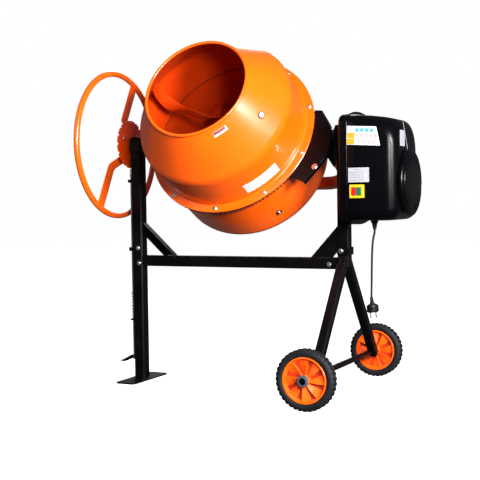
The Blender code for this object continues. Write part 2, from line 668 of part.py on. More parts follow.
def build_motor():
    motor = empty("motor_axis", location=(0, 0, MOTOR_Z))
    shaft_r, plate = 0.006, (0.4005, 0.4035)
    bore = shaft_r + GAP
    add("motor_pulley", turned(pulley(MOTOR_PULLEY_R, bore), 16), STEEL, 0.4, 0.9,
        parent=motor, matrix=TO_X)
    add("motor_shaft", turned(rod_profile(shaft_r, PULLEY_X[0] - 0.001, 0.556), 16, closed=False),
        STEEL, 0.35, 1.0, parent=motor, matrix=TO_X)
    body_low = plate[1] + GAP
    shell = [(shaft_r + 0.001, body_low), (0.058, body_low), (0.062, body_low + 0.01),
             (0.062, 0.515), (0.050, 0.527), (shaft_r + 0.001, 0.527)]
    add("motor_body", turned(shell, 20), (0.30, 0.31, 0.32), 0.5, 0.6, parent=motor, matrix=TO_X)
    blades = []
    for blade in range(8):
        centre = 2 * pi * blade / 8
        for offset, radius in ((-0.35, 0.020), (-0.10, 0.050), (0.10, 0.050), (0.35, 0.020)):
            blades.append((radius * cos(centre + offset), radius * sin(centre + offset)))
    hole = [(bore * cos(atan2(y, x)), bore * sin(atan2(y, x))) for x, y in blades]
    fan = [[(x, y, z) for x, y in points] for points, z in (
        (blades, 0.532), (blades, 0.548), (hole, 0.548), (hole, 0.532),
    )]
    add("cooling_fan", bridged(fan, loop=True), BLACK, 0.5, parent=motor, matrix=TO_X, smooth=0)

    half, low, high = 0.105, MOTOR_Z - 0.075, TILT_Z + 0.045
    sheet = [(-half, low), (half, low), (half, high - 0.02), (half - 0.03, high),
             (0.03 - half, high), (-half, high - 0.02)]
    mount = add("motor_plate", extruded(sheet, *plate, "YZ"), STEEL, 0.5, 0.8)
    hole = turned(rod_profile(shaft_r + 0.002, 0.39, 0.42), 16, closed=False)
    boolean(mount, cutter("shaft_gap", hole, matrix=at(0, 0, MOTOR_Z, TO_X)), "DIFFERENCE")

    build_belt()
    build_housing()


def build_belt():
    """A flat belt round both pulleys."""
    low, high = PULLEY_X[0] + 0.002, PULLEY_X[1] - 0.002
    lean = degrees_of(acos((PULLEY_R - MOTOR_PULLEY_R) / (TILT_Z - MOTOR_Z)))

    def path(lift):
        big = arc((0, TILT_Z), PULLEY_R + lift, lean - 90, 270 - lean, 20)
        small = arc((0, MOTOR_Z), MOTOR_PULLEY_R + lift, 270 - lean, 270 + lean, 8)
        return big + small

    inner, outer = path(0.0005), path(0.0030)
    rings = [[(x, y, z) for y, z in points] for points, x in (
        (outer, low), (outer, high), (inner, high), (inner, low),
    )]
    add("drive_belt", bridged(rings, loop=True), RUBBER, 0.7)


def degrees_of(turn):
    return turn * 180 / pi


def shell_ring(x, half_y, low, high, corner, arch=0.0):
    """A rounded section of the housing at one x, its top raised by arch in the middle."""
    middle, half_z = (low + high) / 2, (high - low) / 2
    points = []
    for y, z in ring_outline(half_y, half_z, corner, 3, 5 if arch else 0):
        rise = arch * (1 - (y / half_y) ** 2) * z / half_z
        points.append((x, y, middle + z + rise))
    return points


def shell(name, rings, wall, roughness):
    """An open skin with its far end closed, thickened inwards."""
    made = add(name, bridged(rings, cap_first=False), BLACK, roughness)
    skin = made.modifiers.new("wall", "SOLIDIFY")
    skin.thickness = wall
    skin.offset = -1
    skin.use_even_offset = True
    return made


def build_housing():
    back, joint, outside = HOUSING_X
    low, high = HOUSING_Z
    inner_rings = [
        shell_ring(joint - GAP, HOUSING_Y, low - 0.001, high + 0.001, 0.035, 0.0135),
        shell_ring(back + 0.006, HOUSING_Y, low - 0.001, high + 0.001, 0.035, 0.0135),
        shell_ring(back, HOUSING_Y - 0.006, low + 0.005, high - 0.005, 0.031, 0.0135),
    ]
    inner = shell("inner_housing", inner_rings, SHEET, 0.35)
    hole = turned(rod_profile(SHAFT_R + 0.004, back - 0.02, back + 0.02), 20, closed=False)
    carve(inner, "drive_hole", hole, at(0, 0, TILT_Z, TO_X))

    cover_rings = [
        shell_ring(joint, HOUSING_Y - 0.0015, low, high, 0.035),
        shell_ring(outside - 0.036, HOUSING_Y - 0.0015, low + 0.0005, high - 0.016, 0.038),
        shell_ring(outside - 0.016, HOUSING_Y - 0.007, low + 0.006, high - 0.024, 0.034),
        shell_ring(outside - 0.004, HOUSING_Y - 0.018, low + 0.017, high - 0.035, 0.030),
        shell_ring(outside, HOUSING_Y - 0.030, low + 0.029, high - 0.047, 0.025),
    ]
    cover = shell("outer_housing", cover_rings, SHEET, 0.3)
    hole = turned(rod_profile(0.040, outside - 0.03, outside + 0.02), 24, closed=False)
    carve(cover, "air_hole", hole, at(0, 0, MOTOR_Z, TO_X))

    face = outside + GAP
    dome = [(0, face + 0.0170), (0.058, face + 0.0170), (FAN_COVER_R - 0.010, face + 0.0140),
            (FAN_COVER_R - 0.003, face + 0.0095), (FAN_COVER_R - 0.003, face), (FAN_COVER_R, face),
            (FAN_COVER_R, face + 0.011), (FAN_COVER_R - 0.008, face + 0.017), (0.060, face + 0.020),
            (0, face + 0.020)]
    add("fan_cover", turned(dome, 28, closed=False), BLACK, 0.3, matrix=at(0, 0, MOTOR_Z, TO_X))
    build_switch()
    build_cord()


def carve(made, name, bm, matrix):
    """A Boolean that stays in the stack after the wall has its thickness."""
    tool = cutter(name, bm, matrix=matrix)
    cut = made.modifiers.new(name, "BOOLEAN")
    cut.operation = "DIFFERENCE"
    cut.object = tool


def build_switch():
    """A flat frame on the housing with two push buttons in their own pockets."""
    wall = -(HOUSING_Y - 0.0015) - GAP
    deep = 0.012
    half_x, half_z = 0.0245, 0.0222
    frame = block((-half_x, half_x), (wall - deep, wall), (-half_z, half_z))
    made = add("switch_box", bevelled(frame, 0.0015), (0.90, 0.68, 0.02), 0.35,
               matrix=at(SWITCH_X, 0, SWITCH_Z))
    place = at(SWITCH_X, 0, SWITCH_Z)
    for name, x, colour in (
        ("stop_button", -0.0088, (0.75, 0.02, 0.02)), ("start_button", 0.0088, (0.02, 0.30, 0.12)),
    ):
        half_w, half_h, travel = 0.0080, 0.0135, 0.003
        slot = block((x - half_w - 0.0005, x + half_w + 0.0005), (wall - deep - 0.01, wall - 0.002),
                     (-half_h - 0.0005, half_h + 0.0005))
        boolean(made, cutter("slot", slot, matrix=place), "DIFFERENCE")
        press = block((x - half_w, x + half_w), (wall - deep - 0.002, wall - 0.002 - travel - GAP),
                      (-half_h, half_h))
        add(name, bevelled(press, 0.0008), colour, 0.35, matrix=place)


def build_cord():
    """The short lead under the housing: strain relief, cord and two-pin plug."""
    top = HOUSING_Z[0] - GAP
    relief = [(0, 0), (0.0125, 0), (0.0125, -0.006), (0.0095, -0.008), (0.0060, -0.031), (0, -0.031)]
    add("cable_gland", turned(relief, 16, closed=False), BLACK, 0.5, matrix=at(GLAND_X, GLAND_Y, top))
    exit_z = top - 0.031 - GAP
    route = [
        (0, 0), (-0.0007, -0.010), (-0.0030, -0.020), (-0.0056, -0.032), (-0.0080, -0.050),
        (-0.0096, -0.072), (-0.0106, -0.100), (-0.0114, -0.130), (-0.0121, -0.160),
        (-0.0128, -0.190), (-0.0134, -0.212), (-0.0138, -0.2275),
    ]
    lead = bpy.data.curves.new("power_cord", "CURVE")
    lead.dimensions = "3D"
    lead.bevel_depth = CORD_D / 2
    lead.bevel_resolution = 2
    lead.use_fill_caps = True
    line = lead.splines.new("POLY")
    points = smooth_route(route, 2)
    line.points.add(len(points) - 1)
    for point, (x, z) in zip(line.points, points):
        point.co = (GLAND_X + x, GLAND_Y, exit_z + z, 1)
    made = bpy.data.objects.new("power_cord", lead)
    bpy.context.scene.collection.objects.link(made)
    lead.materials.append(material("power_cord", BLACK, 0.5))

    x, z = points[-1]
    plug_top = exit_z + z - GAP
    body = [(0, 0), (0.0055, 0), (0.0062, -0.012), (0.0088, -0.022), (0.0150, -0.026),
            (0.0185, -0.032), (0.0185, -0.050), (0.0170, -0.053), (0, -0.053)]
    plug = turned(body, 14, closed=False)
    made = add("plug", plug, BLACK, 0.5, matrix=at(GLAND_X + x, GLAND_Y, plug_top))
    for side in (-1, 1):
        pin = turned(rod_profile(0.0024, -0.072, -0.050), 8, closed=False)
        boolean(made, cutter("pin", pin, matrix=at(GLAND_X + x + side * 0.0095, GLAND_Y, plug_top)),
                "UNION")


def smooth_route(route, parts):
    """Points on a Catmull-Rom curve through a route's points."""
    padded = [route[0], *route, route[-1]]
    points = []
    for a, b, c, d in zip(padded, padded[1:], padded[2:], padded[3:]):
        for step in range(parts):
            t = step / parts
            points.append(tuple(
                0.5 * (2 * q + (r - p) * t + (2 * p - 5 * q + 4 * r - s) * t ** 2
                       + (3 * q - p - 3 * r + s) * t ** 3)
                for p, q, r, s in zip(a, b, c, d)
            ))
    return points + [route[-1]]


# ---------------------------------------------------------------- wheels
def build_wheels():
    half, rim_in = WHEEL_W / 2, RIM_R - 0.0045
    hub_r, hub_half, web = 0.0185, 0.024, 0.006
    tyre = [(RIM_R + GAP, -half + 0.004), (0.084, -half), (0.093, -half + 0.002), (WHEEL_R, -half + 0.010),
            (WHEEL_R, half - 0.010), (0.093, half - 0.002), (0.084, half), (RIM_R + GAP, half - 0.004)]
    rim = [(AXLE_R + GAP, -hub_half), (hub_r, -hub_half), (hub_r, -web), (rim_in, -web),
           (rim_in, -half + 0.003), (RIM_R, -half + 0.003), (RIM_R, half - 0.003), (rim_in, half - 0.003),
           (rim_in, web), (hub_r, web), (hub_r, hub_half), (AXLE_R + GAP, hub_half)]
    for side, way in (("front", -1), ("rear", 1)):
        place = at(AXLE_X, way * WHEEL_Y, WHEEL_R, TO_FRONT if way < 0 else TO_Y)
        add(f"{side}_tyre", turned(tyre, WHEEL_SIDES), RUBBER, 0.75, matrix=place)
        add(f"{side}_rim", turned(rim, WHEEL_SIDES), ORANGE, 0.35, matrix=place)
        cap = [(0, hub_half + GAP), (hub_r, hub_half + GAP), (hub_r, hub_half + 0.006),
               (0.013, hub_half + 0.010), (0, hub_half + 0.010)]
        add(f"{side}_hub_cap", turned(cap, 18, closed=False), STEEL, 0.35, 0.9, matrix=place)


# ---------------------------------------------------------------- tilt lock and pedal
def build_lock():
    face = LEG_X - HALF_LEG - GAP
    notch_edge = TILT_Z - DISC_R
    latch_top, latch_low = notch_edge - 0.001, 0.768
    half = NOTCH_W / 2 - 0.0008
    latch = block((DISC_X - 0.0035, DISC_X + 0.0035), (-half, half), (latch_low, latch_top))

    rod_low, link_z = 0.068, PIVOT_Z
    rod = turned([
        (0, rod_low), (ROD_R, rod_low), (ROD_R, SPRING_HIGH + GAP), (0.0085, SPRING_HIGH + GAP),
        (0.0085, SPRING_HIGH + 0.004), (ROD_R, SPRING_HIGH + 0.004), (ROD_R, latch_low + 0.010),
        (0, latch_low + 0.010),
    ], 12, closed=False)
    made = add("lock_rod", rod, ZINC, 0.4, 1.0, matrix=at(ROD_X, 0, 0))
    peg = turned(rod_profile(0.003, -0.014, 0), 10, closed=False)
    boolean(made, cutter("peg", peg, matrix=at(ROD_X, 0, link_z, TO_X)), "UNION")
    boolean(made, cutter("latch", latch), "UNION")

    for name, low, high in (
        ("upper_rod_guide", 0.744, 0.756), ("lower_rod_guide", 0.484, 0.498),
        ("spring_seat", SPRING_LOW - 0.0065, SPRING_LOW - GAP),
    ):
        tab = block((ROD_X - 0.0095, face), (-0.009, 0.009), (low, high))
        guide = add(name, tab, BLACK, 0.4)
        hole = turned(rod_profile(ROD_R + 0.0005, low - 0.01, high + 0.01), 12, closed=False)
        boolean(guide, cutter("rod_hole", hole, matrix=at(ROD_X, 0, 0)), "DIFFERENCE")

    add("lock_spring", coil(0.0078, 0.0012, SPRING_LOW, SPRING_HIGH, 6), ZINC, 0.35, 1.0,
        matrix=at(ROD_X, 0, 0))

    lever_x = (ROD_X - 0.0115, ROD_X - ROD_R - 0.0010)
    lever = [(0.026, 0.071), (0.026, 0.085), (-0.012, 0.085), (-0.060, 0.0765), (-0.060, 0.0685),
             (-0.012, 0.071)]
    made = add("pedal", extruded(lever, *lever_x, "YZ"), BLACK, 0.4)
    pad = block((ROD_X - 0.021, lever_x[1]), (-0.064, -0.034), (0.0685, 0.0740))
    boolean(made, cutter("pad", pad), "UNION")
    slot = ring_outline(0.0042, 0.0056, 0.004, 2)
    slot = [(y, PIVOT_Z + z) for z, y in slot]
    boolean(made, cutter("slot", extruded(slot, -0.6, -0.5, "YZ")), "DIFFERENCE")
    hole = turned(rod_profile(0.004 + GAP, -0.6, -0.5), 12, closed=False)
    boolean(made, cutter("pivot_hole", hole, matrix=at(0, PIVOT_Y, PIVOT_Z, TO_X)), "DIFFERENCE")
    pin = [(0, lever_x[0] - 0.004), (0.0065, lever_x[0] - 0.004), (0.0065, lever_x[0] - GAP),
           (0.004, lever_x[0] - GAP), (0.004, face), (0, face)]
    add("pedal_pin", turned(pin, 12, closed=False), ZINC, 0.4, 1.0,
        matrix=at(0, PIVOT_Y, PIVOT_Z, TO_X))


def coil(radius, wire, low, high, turns):
    """A round-wire spring between two heights."""
    per_turn, sides = 9, 5
    steps = turns * per_turn
    rise = (high - low - 2 * wire - 2 * GAP) / steps
    rings = []
    for step in range(steps + 1):
        turn = 2 * pi * step / per_turn
        height = low + GAP + wire + rise * step
        rings.append([
            ((radius + wire * cos(a)) * cos(turn), (radius + wire * cos(a)) * sin(turn),
             height + wire * sin(a))
            for a in (2 * pi * i / sides for i in range(sides))
        ])
    return bridged(rings)


def main():
    clear_scene()
    build_stand()
    tilt = empty("tilt_axis", location=(0, 0, TILT_Z))
    axis = empty("drum_axis", tilt, (DRUM_X, 0, 0), (pi / 2 - radians(TILT_DEG), 0, 0))
    build_drum(axis)
    build_yoke(tilt, axis)
    build_drive(tilt)
    build_motor()
    build_wheels()
    build_lock()


main()
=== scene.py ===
import json
from math import acos, atan2, cos, hypot, pi, radians, sin

import bmesh
import bpy
from mathutils import Matrix, Vector

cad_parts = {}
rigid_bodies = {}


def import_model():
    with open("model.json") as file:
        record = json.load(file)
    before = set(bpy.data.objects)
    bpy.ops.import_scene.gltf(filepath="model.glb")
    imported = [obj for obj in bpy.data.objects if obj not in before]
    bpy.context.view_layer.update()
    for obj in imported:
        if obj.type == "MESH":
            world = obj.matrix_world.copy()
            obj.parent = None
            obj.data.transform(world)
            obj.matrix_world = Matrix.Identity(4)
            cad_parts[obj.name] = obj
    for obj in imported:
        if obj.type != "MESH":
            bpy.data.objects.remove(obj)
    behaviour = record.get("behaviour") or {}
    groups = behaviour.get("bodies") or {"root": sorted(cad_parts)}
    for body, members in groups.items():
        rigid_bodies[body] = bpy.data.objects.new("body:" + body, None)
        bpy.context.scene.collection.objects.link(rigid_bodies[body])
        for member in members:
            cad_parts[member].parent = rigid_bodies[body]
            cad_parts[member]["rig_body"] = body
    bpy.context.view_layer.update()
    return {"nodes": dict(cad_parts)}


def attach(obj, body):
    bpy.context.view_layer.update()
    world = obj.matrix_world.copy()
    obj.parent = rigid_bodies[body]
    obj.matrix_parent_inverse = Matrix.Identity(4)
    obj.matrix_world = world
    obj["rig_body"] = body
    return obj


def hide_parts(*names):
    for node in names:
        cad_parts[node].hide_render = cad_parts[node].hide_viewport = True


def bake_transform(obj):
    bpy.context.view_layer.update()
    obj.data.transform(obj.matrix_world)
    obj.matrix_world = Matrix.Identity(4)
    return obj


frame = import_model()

# The visible concrete mixer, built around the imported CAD. Metres, +Z up; the drum's mouth looks towards -Y.
NODES = frame["nodes"]

AMBIENT = 0.11          # strength of the world as the object sees it
# name, place, aimed at, edge length, power in watts
LAMPS = (
    ("key", (3.1, -2.0, 1.7), (0, 0, 0.8), 1.0, 370),
    ("front", (2.1, -2.9, 1.35), (0, 0, 0.9), 0.7, 140),
    ("fill", (-2.8, -2.8, 2.2), (0, 0, 0.7), 2.0, 18),
    ("rim", (-1.6, 3.0, 2.6), (0, 0, 0.8), 1.8, 50),
)


# ---------------------------------------------------------------- camera
def camera():
    """The photograph's camera: in front, to the right, a little below the drum."""
    azimuth, pitch, roll = radians(26.007), radians(2.2786), radians(-0.8471)
    ahead = Vector((-sin(azimuth) * cos(pitch), cos(azimuth) * cos(pitch), -sin(pitch)))
    right = Vector((cos(azimuth), sin(azimuth), 0))
    up = right.cross(ahead)
    x_axis = right * cos(roll) + up * sin(roll)
    y_axis = up * cos(roll) - right * sin(roll)
    data = bpy.data.cameras.new("camera")
    data.sensor_width = 36
    data.lens = 76.64
    made = bpy.data.objects.new("camera", data)
    bpy.context.scene.collection.objects.link(made)
    turn = Matrix((x_axis, y_axis, -ahead)).transposed().to_4x4()
    made.matrix_world = Matrix.Translation((1.5673, -3.3269, 0.6744)) @ turn
    bpy.context.scene.camera = made


# ---------------------------------------------------------------- places
TILT_Z, TILT = 0.889, radians(28.2)     # height of the tilting axis; the drum axis above the horizontal
DRUM_X = -0.068
AXIS = Matrix.Translation((DRUM_X, 0, TILT_Z)) @ Matrix.Rotation(pi / 2 - TILT, 4, "X")
TO_X = Matrix.Rotation(pi / 2, 4, "Y")       # these three turn a piece's own Z to +X, +Y and -Y
TO_Y = Matrix.Rotation(-pi / 2, 4, "X")
TO_FRONT = Matrix.Rotation(pi / 2, 4, "X")


def at(x, y, z, turn=None):
    """A frame at a point, turned if need be."""
    return Matrix.Translation((x, y, z)) @ (turn or Matrix())


def on_drum(radius, s, degrees, lean=0.0):
    """A frame on the drum, its Z outwards; lean 90 turns Z along the drum axis."""
    spin = Matrix.Rotation(radians(degrees), 4, "Z")
    return AXIS @ spin @ at(radius, 0, s) @ Matrix.Rotation(pi / 2 - radians(lean), 4, "Y")


# ---------------------------------------------------------------- materials
def finish(name, colour, other, rough=(0.3, 0.4), metallic=0.0, scale=6.0, grain=(300.0, 0.05),
           coat=0.0, dirt=None, specular=0.5):
    """A paint, plastic or metal: cloudy colour, uneven gloss, fine grain, and dirt in patches.

    scale sets the clouds, grain the size and strength of the bumps; dirt is a colour, a size and an amount.
    """
    made = bpy.data.materials.new(name)
    made.use_nodes = True
    tree = made.node_tree
    shader = tree.nodes["Principled BSDF"]
    shader.inputs["Metallic"].default_value = metallic
    shader.inputs["Specular IOR Level"].default_value = specular
    shader.inputs["Coat Weight"].default_value = coat
    shader.inputs["Coat Roughness"].default_value = 0.08
    place = tree.nodes.new("ShaderNodeTexCoord").outputs["Object"]

    def noise(size, detail=4.0):
        node = tree.nodes.new("ShaderNodeTexNoise")
        node.inputs["Scale"].default_value = size
        node.inputs["Detail"].default_value = detail
        tree.links.new(place, node.inputs["Vector"])
        return node.outputs["Fac"]

    def ramp(value, low, high, start, end):
        node = tree.nodes.new("ShaderNodeValToRGB")
        node.color_ramp.elements[0].position = start
        node.color_ramp.elements[1].position = end
        node.color_ramp.elements[0].color = (*low, 1)
        node.color_ramp.elements[1].color = (*high, 1)
        tree.links.new(value, node.inputs["Fac"])
        return node.outputs["Color"]

    shade = ramp(noise(scale), colour, other, 0.35, 0.7)
    if dirt:
        mix = tree.nodes.new("ShaderNodeMix")
        mix.data_type = "RGBA"
        soil, patches, amount = dirt
        where = ramp(noise(patches, 8.0), (0, 0, 0), (amount,) * 3, 0.52, 0.75)
        tree.links.new(where, mix.inputs["Factor"])
        tree.links.new(shade, mix.inputs["A"])
        mix.inputs["B"].default_value = (*soil, 1)
        shade = mix.outputs["Result"]
    tree.links.new(shade, shader.inputs["Base Color"])
    gloss = tree.nodes.new("ShaderNodeMapRange")
    gloss.inputs["To Min"].default_value = rough[0]
    gloss.inputs["To Max"].default_value = rough[1]
    tree.links.new(noise(scale * 3.1, 6.0), gloss.inputs["Value"])
    tree.links.new(gloss.outputs["Result"], shader.inputs["Roughness"])
    bump = tree.nodes.new("ShaderNodeBump")
    bump.inputs["Strength"].default_value = grain[1]
    bump.inputs["Distance"].default_value = 0.001
    tree.links.new(noise(grain[0], 2.0), bump.inputs["Height"])
    tree.links.new(bump.outputs["Normal"], shader.inputs["Normal"])
    return made


ORANGE = finish("orange_enamel", (0.86, 0.092, 0.0010), (0.90, 0.104, 0.0015), (0.20, 0.30), 0, 5,
                (220, 0.05), coat=0.2, dirt=((0.45, 0.045, 0.002), 14, 0.12))
# A darker copy of the orange enamel: painted shade for the yoke, its trunnion welds and the locking disc.
SHADED_ORANGE = finish("orange_enamel_painted_shade", (0.72, 0.055, 0.001), (0.80, 0.066, 0.001), (0.24, 0.34), 0, 6,
              (220, 0.06), coat=0.15, dirt=((0.25, 0.025, 0.003), 18, 0.15))
# A darker copy of the orange enamel, with more dirt: painted shade for the inside of the drum and the
# paddles.
SHADED_INSIDE = finish("orange_enamel_inside_painted_shade", (0.50, 0.030, 0.0005), (0.56, 0.038, 0.0008), (0.28, 0.40), 0, 5,
                (220, 0.06), dirt=((0.20, 0.015, 0.002), 12, 0.25))
BLACK = finish("black_enamel", (0.0008, 0.0008, 0.0013), (0.0016, 0.0015, 0.0021), (0.28, 0.42), 0, 9,
               (420, 0.10), specular=0.10, dirt=((0.006, 0.005, 0.005), 26, 0.30))
PLASTIC = finish("black_plastic", (0.0006, 0.0006, 0.0010), (0.0012, 0.0012, 0.0017), (0.20, 0.30), 0, 7,
                 (700, 0.08), specular=0.12)
ZINC = finish("zinc_plate", (0.62, 0.61, 0.58), (0.78, 0.77, 0.74), (0.22, 0.38), 1.0, 60, (900, 0.12),
              dirt=((0.30, 0.27, 0.22), 90, 0.35))
STEEL = finish("bare_steel", (0.32, 0.32, 0.33), (0.45, 0.45, 0.46), (0.28, 0.45), 1.0, 40, (800, 0.2),
               dirt=((0.10, 0.07, 0.05), 60, 0.45))
IRON = finish("cast_gear", (0.030, 0.010, 0.006), (0.050, 0.016, 0.009), (0.45, 0.65), 0.2, 70, (500, 0.4),
              dirt=((0.008, 0.005, 0.004), 50, 0.5))
TYRE = finish("tyre_rubber", (0.0030, 0.0034, 0.0050), (0.0052, 0.0058, 0.0076), (0.55, 0.75), 0, 30,
              (600, 0.25), specular=0.2, dirt=((0.014, 0.014, 0.015), 40, 0.35))
RIM = finish("orange_rim_plastic", (0.86, 0.085, 0.001), (0.90, 0.100, 0.002), (0.24, 0.36), 0, 25,
             (500, 0.06), dirt=((0.40, 0.04, 0.003), 60, 0.15))
# A dark copy of the rim orange: painted shade in the gaps between the vanes.
RECESS_SHADE = finish("orange_rim_painted_shade", (0.34, 0.018, 0.0006), (0.42, 0.026, 0.0010), (0.34, 0.46), 0, 25,
                (500, 0.06), dirt=((0.10, 0.008, 0.002), 60, 0.35))
CORD = finish("flex_rubber", (0.0014, 0.0014, 0.0020), (0.0026, 0.0026, 0.0032), (0.42, 0.55), 0, 60,
              (900, 0.15), specular=0.2)
YELLOW = finish("switch_yellow", (0.55, 0.34, 0.008), (0.62, 0.40, 0.012), (0.25, 0.35), 0, 60, (900, 0.05))
RED = finish("switch_red", (0.36, 0.006, 0.007), (0.44, 0.010, 0.010), (0.22, 0.32), 0, 90, (900, 0.05))
GREEN = finish("switch_green", (0.004, 0.085, 0.042), (0.007, 0.105, 0.055), (0.22, 0.32), 0, 90, (900, 0.05))
PAPER = finish("label_white", (0.50, 0.50, 0.51), (0.56, 0.56, 0.57), (0.30, 0.40), 0, 60, (900, 0.03),
               dirt=((0.40, 0.40, 0.42), 90, 0.3))
SILVER = finish("label_silver", (0.32, 0.33, 0.36), (0.40, 0.41, 0.44), (0.28, 0.40), 0.2, 90, (900, 0.05))
HUB = finish("hub_grey", (0.060, 0.068, 0.080), (0.085, 0.095, 0.110), (0.30, 0.42), 0.3, 90, (900, 0.08))
GREY = finish("label_grey_print", (0.14, 0.14, 0.16), (0.20, 0.20, 0.22), (0.4, 0.5), 0, 120, (900, 0.02))
BLUE = finish("label_blue_print", (0.02, 0.24, 0.44), (0.03, 0.28, 0.50), (0.4, 0.5), 0, 120, (900, 0.02))
AMBER = finish("label_amber_print", (0.42, 0.20, 0.008), (0.48, 0.24, 0.012), (0.4, 0.5), 0, 120, (900, 0.02))
ROSE = finish("label_rose_print", (0.20, 0.030, 0.030), (0.26, 0.045, 0.040), (0.4, 0.5), 0, 120, (900, 0.02))


# ---------------------------------------------------------------- mesh tools
def shown(name, bm, material, smooth=35):
    """A mesh object with smooth shading, sharp over the given angle."""
    bmesh.ops.recalc_face_normals(bm, faces=bm.faces)
    mesh = bpy.data.meshes.new(name)
    bm.to_mesh(mesh)
    bm.free()
    mesh.shade_smooth()
    mesh.set_sharp_from_angle(angle=radians(smooth))
    mesh.materials.append(material)
    made = bpy.data.objects.new(name, mesh)
    bpy.context.scene.collection.objects.link(made)
    return made


def piece(name, bm, material, body, matrix=None, replaces=(), smooth=35, bevel=0.0):
    """A visible piece that rides on a body and may stand for CAD nodes."""
    bmesh.ops.remove_doubles(bm, verts=bm.verts, dist=1e-6)
    if matrix is not None:
        bmesh.ops.transform(bm, matrix=matrix, verts=bm.verts)
    made = shown(name, bm, material, smooth)
    if bevel:
        edge = made.modifiers.new("edge", "BEVEL")
        edge.width = bevel
        edge.segments = 2
        edge.limit_method = "ANGLE"
        edge.angle_limit = radians(32)
        edge.use_clamp_overlap = True
        edge.harden_normals = True
    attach(made, body)
    if replaces:
        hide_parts(*replaces)
    return made


def turned(profile, steps, closed=True):
    """A profile of radius and height, turned about Z; an open one ends on the axis."""
    bm = bmesh.new()
    points = [bm.verts.new((r, 0, h)) for r, h in profile]
    pairs = list(zip(points, points[1:]))
    if closed:
        pairs.append((points[-1], points[0]))
    edges = [bm.edges.new(pair) for pair in pairs]
    bmesh.ops.spin(bm, geom=points + edges, cent=(0, 0, 0), axis=(0, 0, 1), angle=2 * pi, steps=steps,
                   use_merge=True)
    return bm


def arc(centre, radius, start, end, steps):
    """Points on an arc, its ends in degrees."""
    turns = [radians(start + (end - start) * i / steps) for i in range(steps + 1)]
    return [(centre[0] + radius * cos(a), centre[1] + radius * sin(a)) for a in turns]


def mirrored(half):
    """A profile closed by its own mirror image across height 0."""
    return half + [(r, -h) for r, h in reversed(half)]


def bridged(rings, loop=False):
    """A skin over rings of equal length, closed by end caps or, as a loop, onto itself."""
    bm = bmesh.new()
    rows = [[bm.verts.new(point) for point in ring] for ring in rings]
    pairs = list(zip(rows, rows[1:]))
    if loop:
        pairs.append((rows[-1], rows[0]))
    count = len(rows[0])
    for low, high in pairs:
        for i in range(count):
            j = (i + 1) % count
            bm.faces.new((low[i], low[j], high[j], high[i]))
    if not loop:
        bm.faces.new(rows[0])
        bm.faces.new(rows[-1])
    return bm


def joined(*meshes):
    """Several bmeshes in one."""
    first, *rest = meshes
    for other in rest:
        data = bpy.data.meshes.new("joined")
        other.to_mesh(data)
        other.free()
        first.from_mesh(data)
        bpy.data.meshes.remove(data)
    return first


def moved(bm, matrix):
    bmesh.ops.transform(bm, matrix=matrix, verts=bm.verts)
    return bm


def rounded(half_u, half_v, corner, per_corner):
    """The outline of a rectangle with round corners."""
    points = []
    for number, (side_u, side_v) in enumerate(((1, 1), (-1, 1), (-1, -1), (1, -1))):
        for step in range(per_corner + 1):
            turn = pi / 2 * (number + step / per_corner)
            points.append((side_u * (half_u - corner) + corner * cos(turn),
                           side_v * (half_v - corner) + corner * sin(turn)))
    return points


def slab(outline, low, high):
    """A flat outline in XY with a thickness."""
    return bridged([[(u, v, low) for u, v in outline], [(u, v, high) for u, v in outline]])


def swept(path, half_u, half_v, corner, per_corner=4):
    """A bar bent in the local XZ plane; half_v lies along Y."""
    rings = []
    for i, (x, z) in enumerate(path):
        here = Vector((x, z))
        first = (here - Vector(path[i - 1])).normalized() if i else None
        second = (Vector(path[i + 1]) - here).normalized() if i < len(path) - 1 else None
        first, second = first or second, second or first
        run = (first + second).normalized()
        across = Vector((-run.y, run.x)) / max(run.dot(first), 0.3)
        rings.append([(x + across.x * u, v, z + across.y * u)
                      for u, v in rounded(half_u, half_v, corner, per_corner)])
    return bridged(rings)


def tube(points, radius, sides=12):
    """A round wire along points, kept free of twist."""
    rings = []
    normal = None
    for i, point in enumerate(points):
        here = Vector(point)
        before = Vector(points[max(i - 1, 0)])
        after = Vector(points[min(i + 1, len(points) - 1)])
        run = (after - before).normalized()
        if normal is None:
            normal = run.orthogonal().normalized()
        normal = (normal - run * normal.dot(run)).normalized()
        other = run.cross(normal)
        rings.append([here + (normal * cos(a) + other * sin(a)) * radius
                      for a in (2 * pi * k / sides for k in range(sides))])
    return bridged(rings)


def smooth_route(route, parts):
    """A curve through the points of a route, each stretch in equal parts."""
    padded = [route[0], *route, route[-1]]
    points = []
    for a, b, c, d in zip(padded, padded[1:], padded[2:], padded[3:]):
        for step in range(parts):
            t = step / parts
            points.append(tuple(0.5 * (2 * q + (r - p) * t + (2 * p - 5 * q + 4 * r - s) * t ** 2
                                       + (3 * q - p - 3 * r + s) * t ** 3) for p, q, r, s in zip(a, b, c, d)))
    return points + [route[-1]]


def cad_copy(node, material, bevel):
    """The CAD node's own shape with its edges broken."""
    source = NODES[node]
    bm = bmesh.new()
    bm.from_mesh(source.data)
    bmesh.ops.remove_doubles(bm, verts=bm.verts, dist=2e-5)
    bmesh.ops.dissolve_limit(bm, angle_limit=radians(1.0), verts=bm.verts, edges=bm.edges)
    return piece(f"{node}_finished", bm, material, source["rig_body"], replaces=[node], bevel=bevel)


def screw(name, matrix, body, head_r, washer_r):
    """A domed hexagon head on a washer, its seat on the local plane z = 0."""
    height, thick = head_r * 0.62, 0.0014
    washer = turned([(0.002, 0), (washer_r, 0), (washer_r, thick * 0.8), (washer_r * 0.97, thick),
                     (0.002, thick)], 32)
    flat = cos(pi / 6)
    rings = []
    top = thick + height
    for reach, level in ((1, thick), (1, thick + height * 0.72), (0.90, top), (0.45, top)):
        points = []
        for i in range(24):
            turn = i * pi / 12
            hexagon = flat / cos((turn + pi / 6) % (pi / 3) - pi / 6)
            r = head_r * reach * (hexagon if reach == 1 else flat)
            points.append((r * cos(turn), r * sin(turn), level))
        rings.append(points)
    return piece(name, joined(washer, bridged(rings)), ZINC, body, matrix, smooth=30)


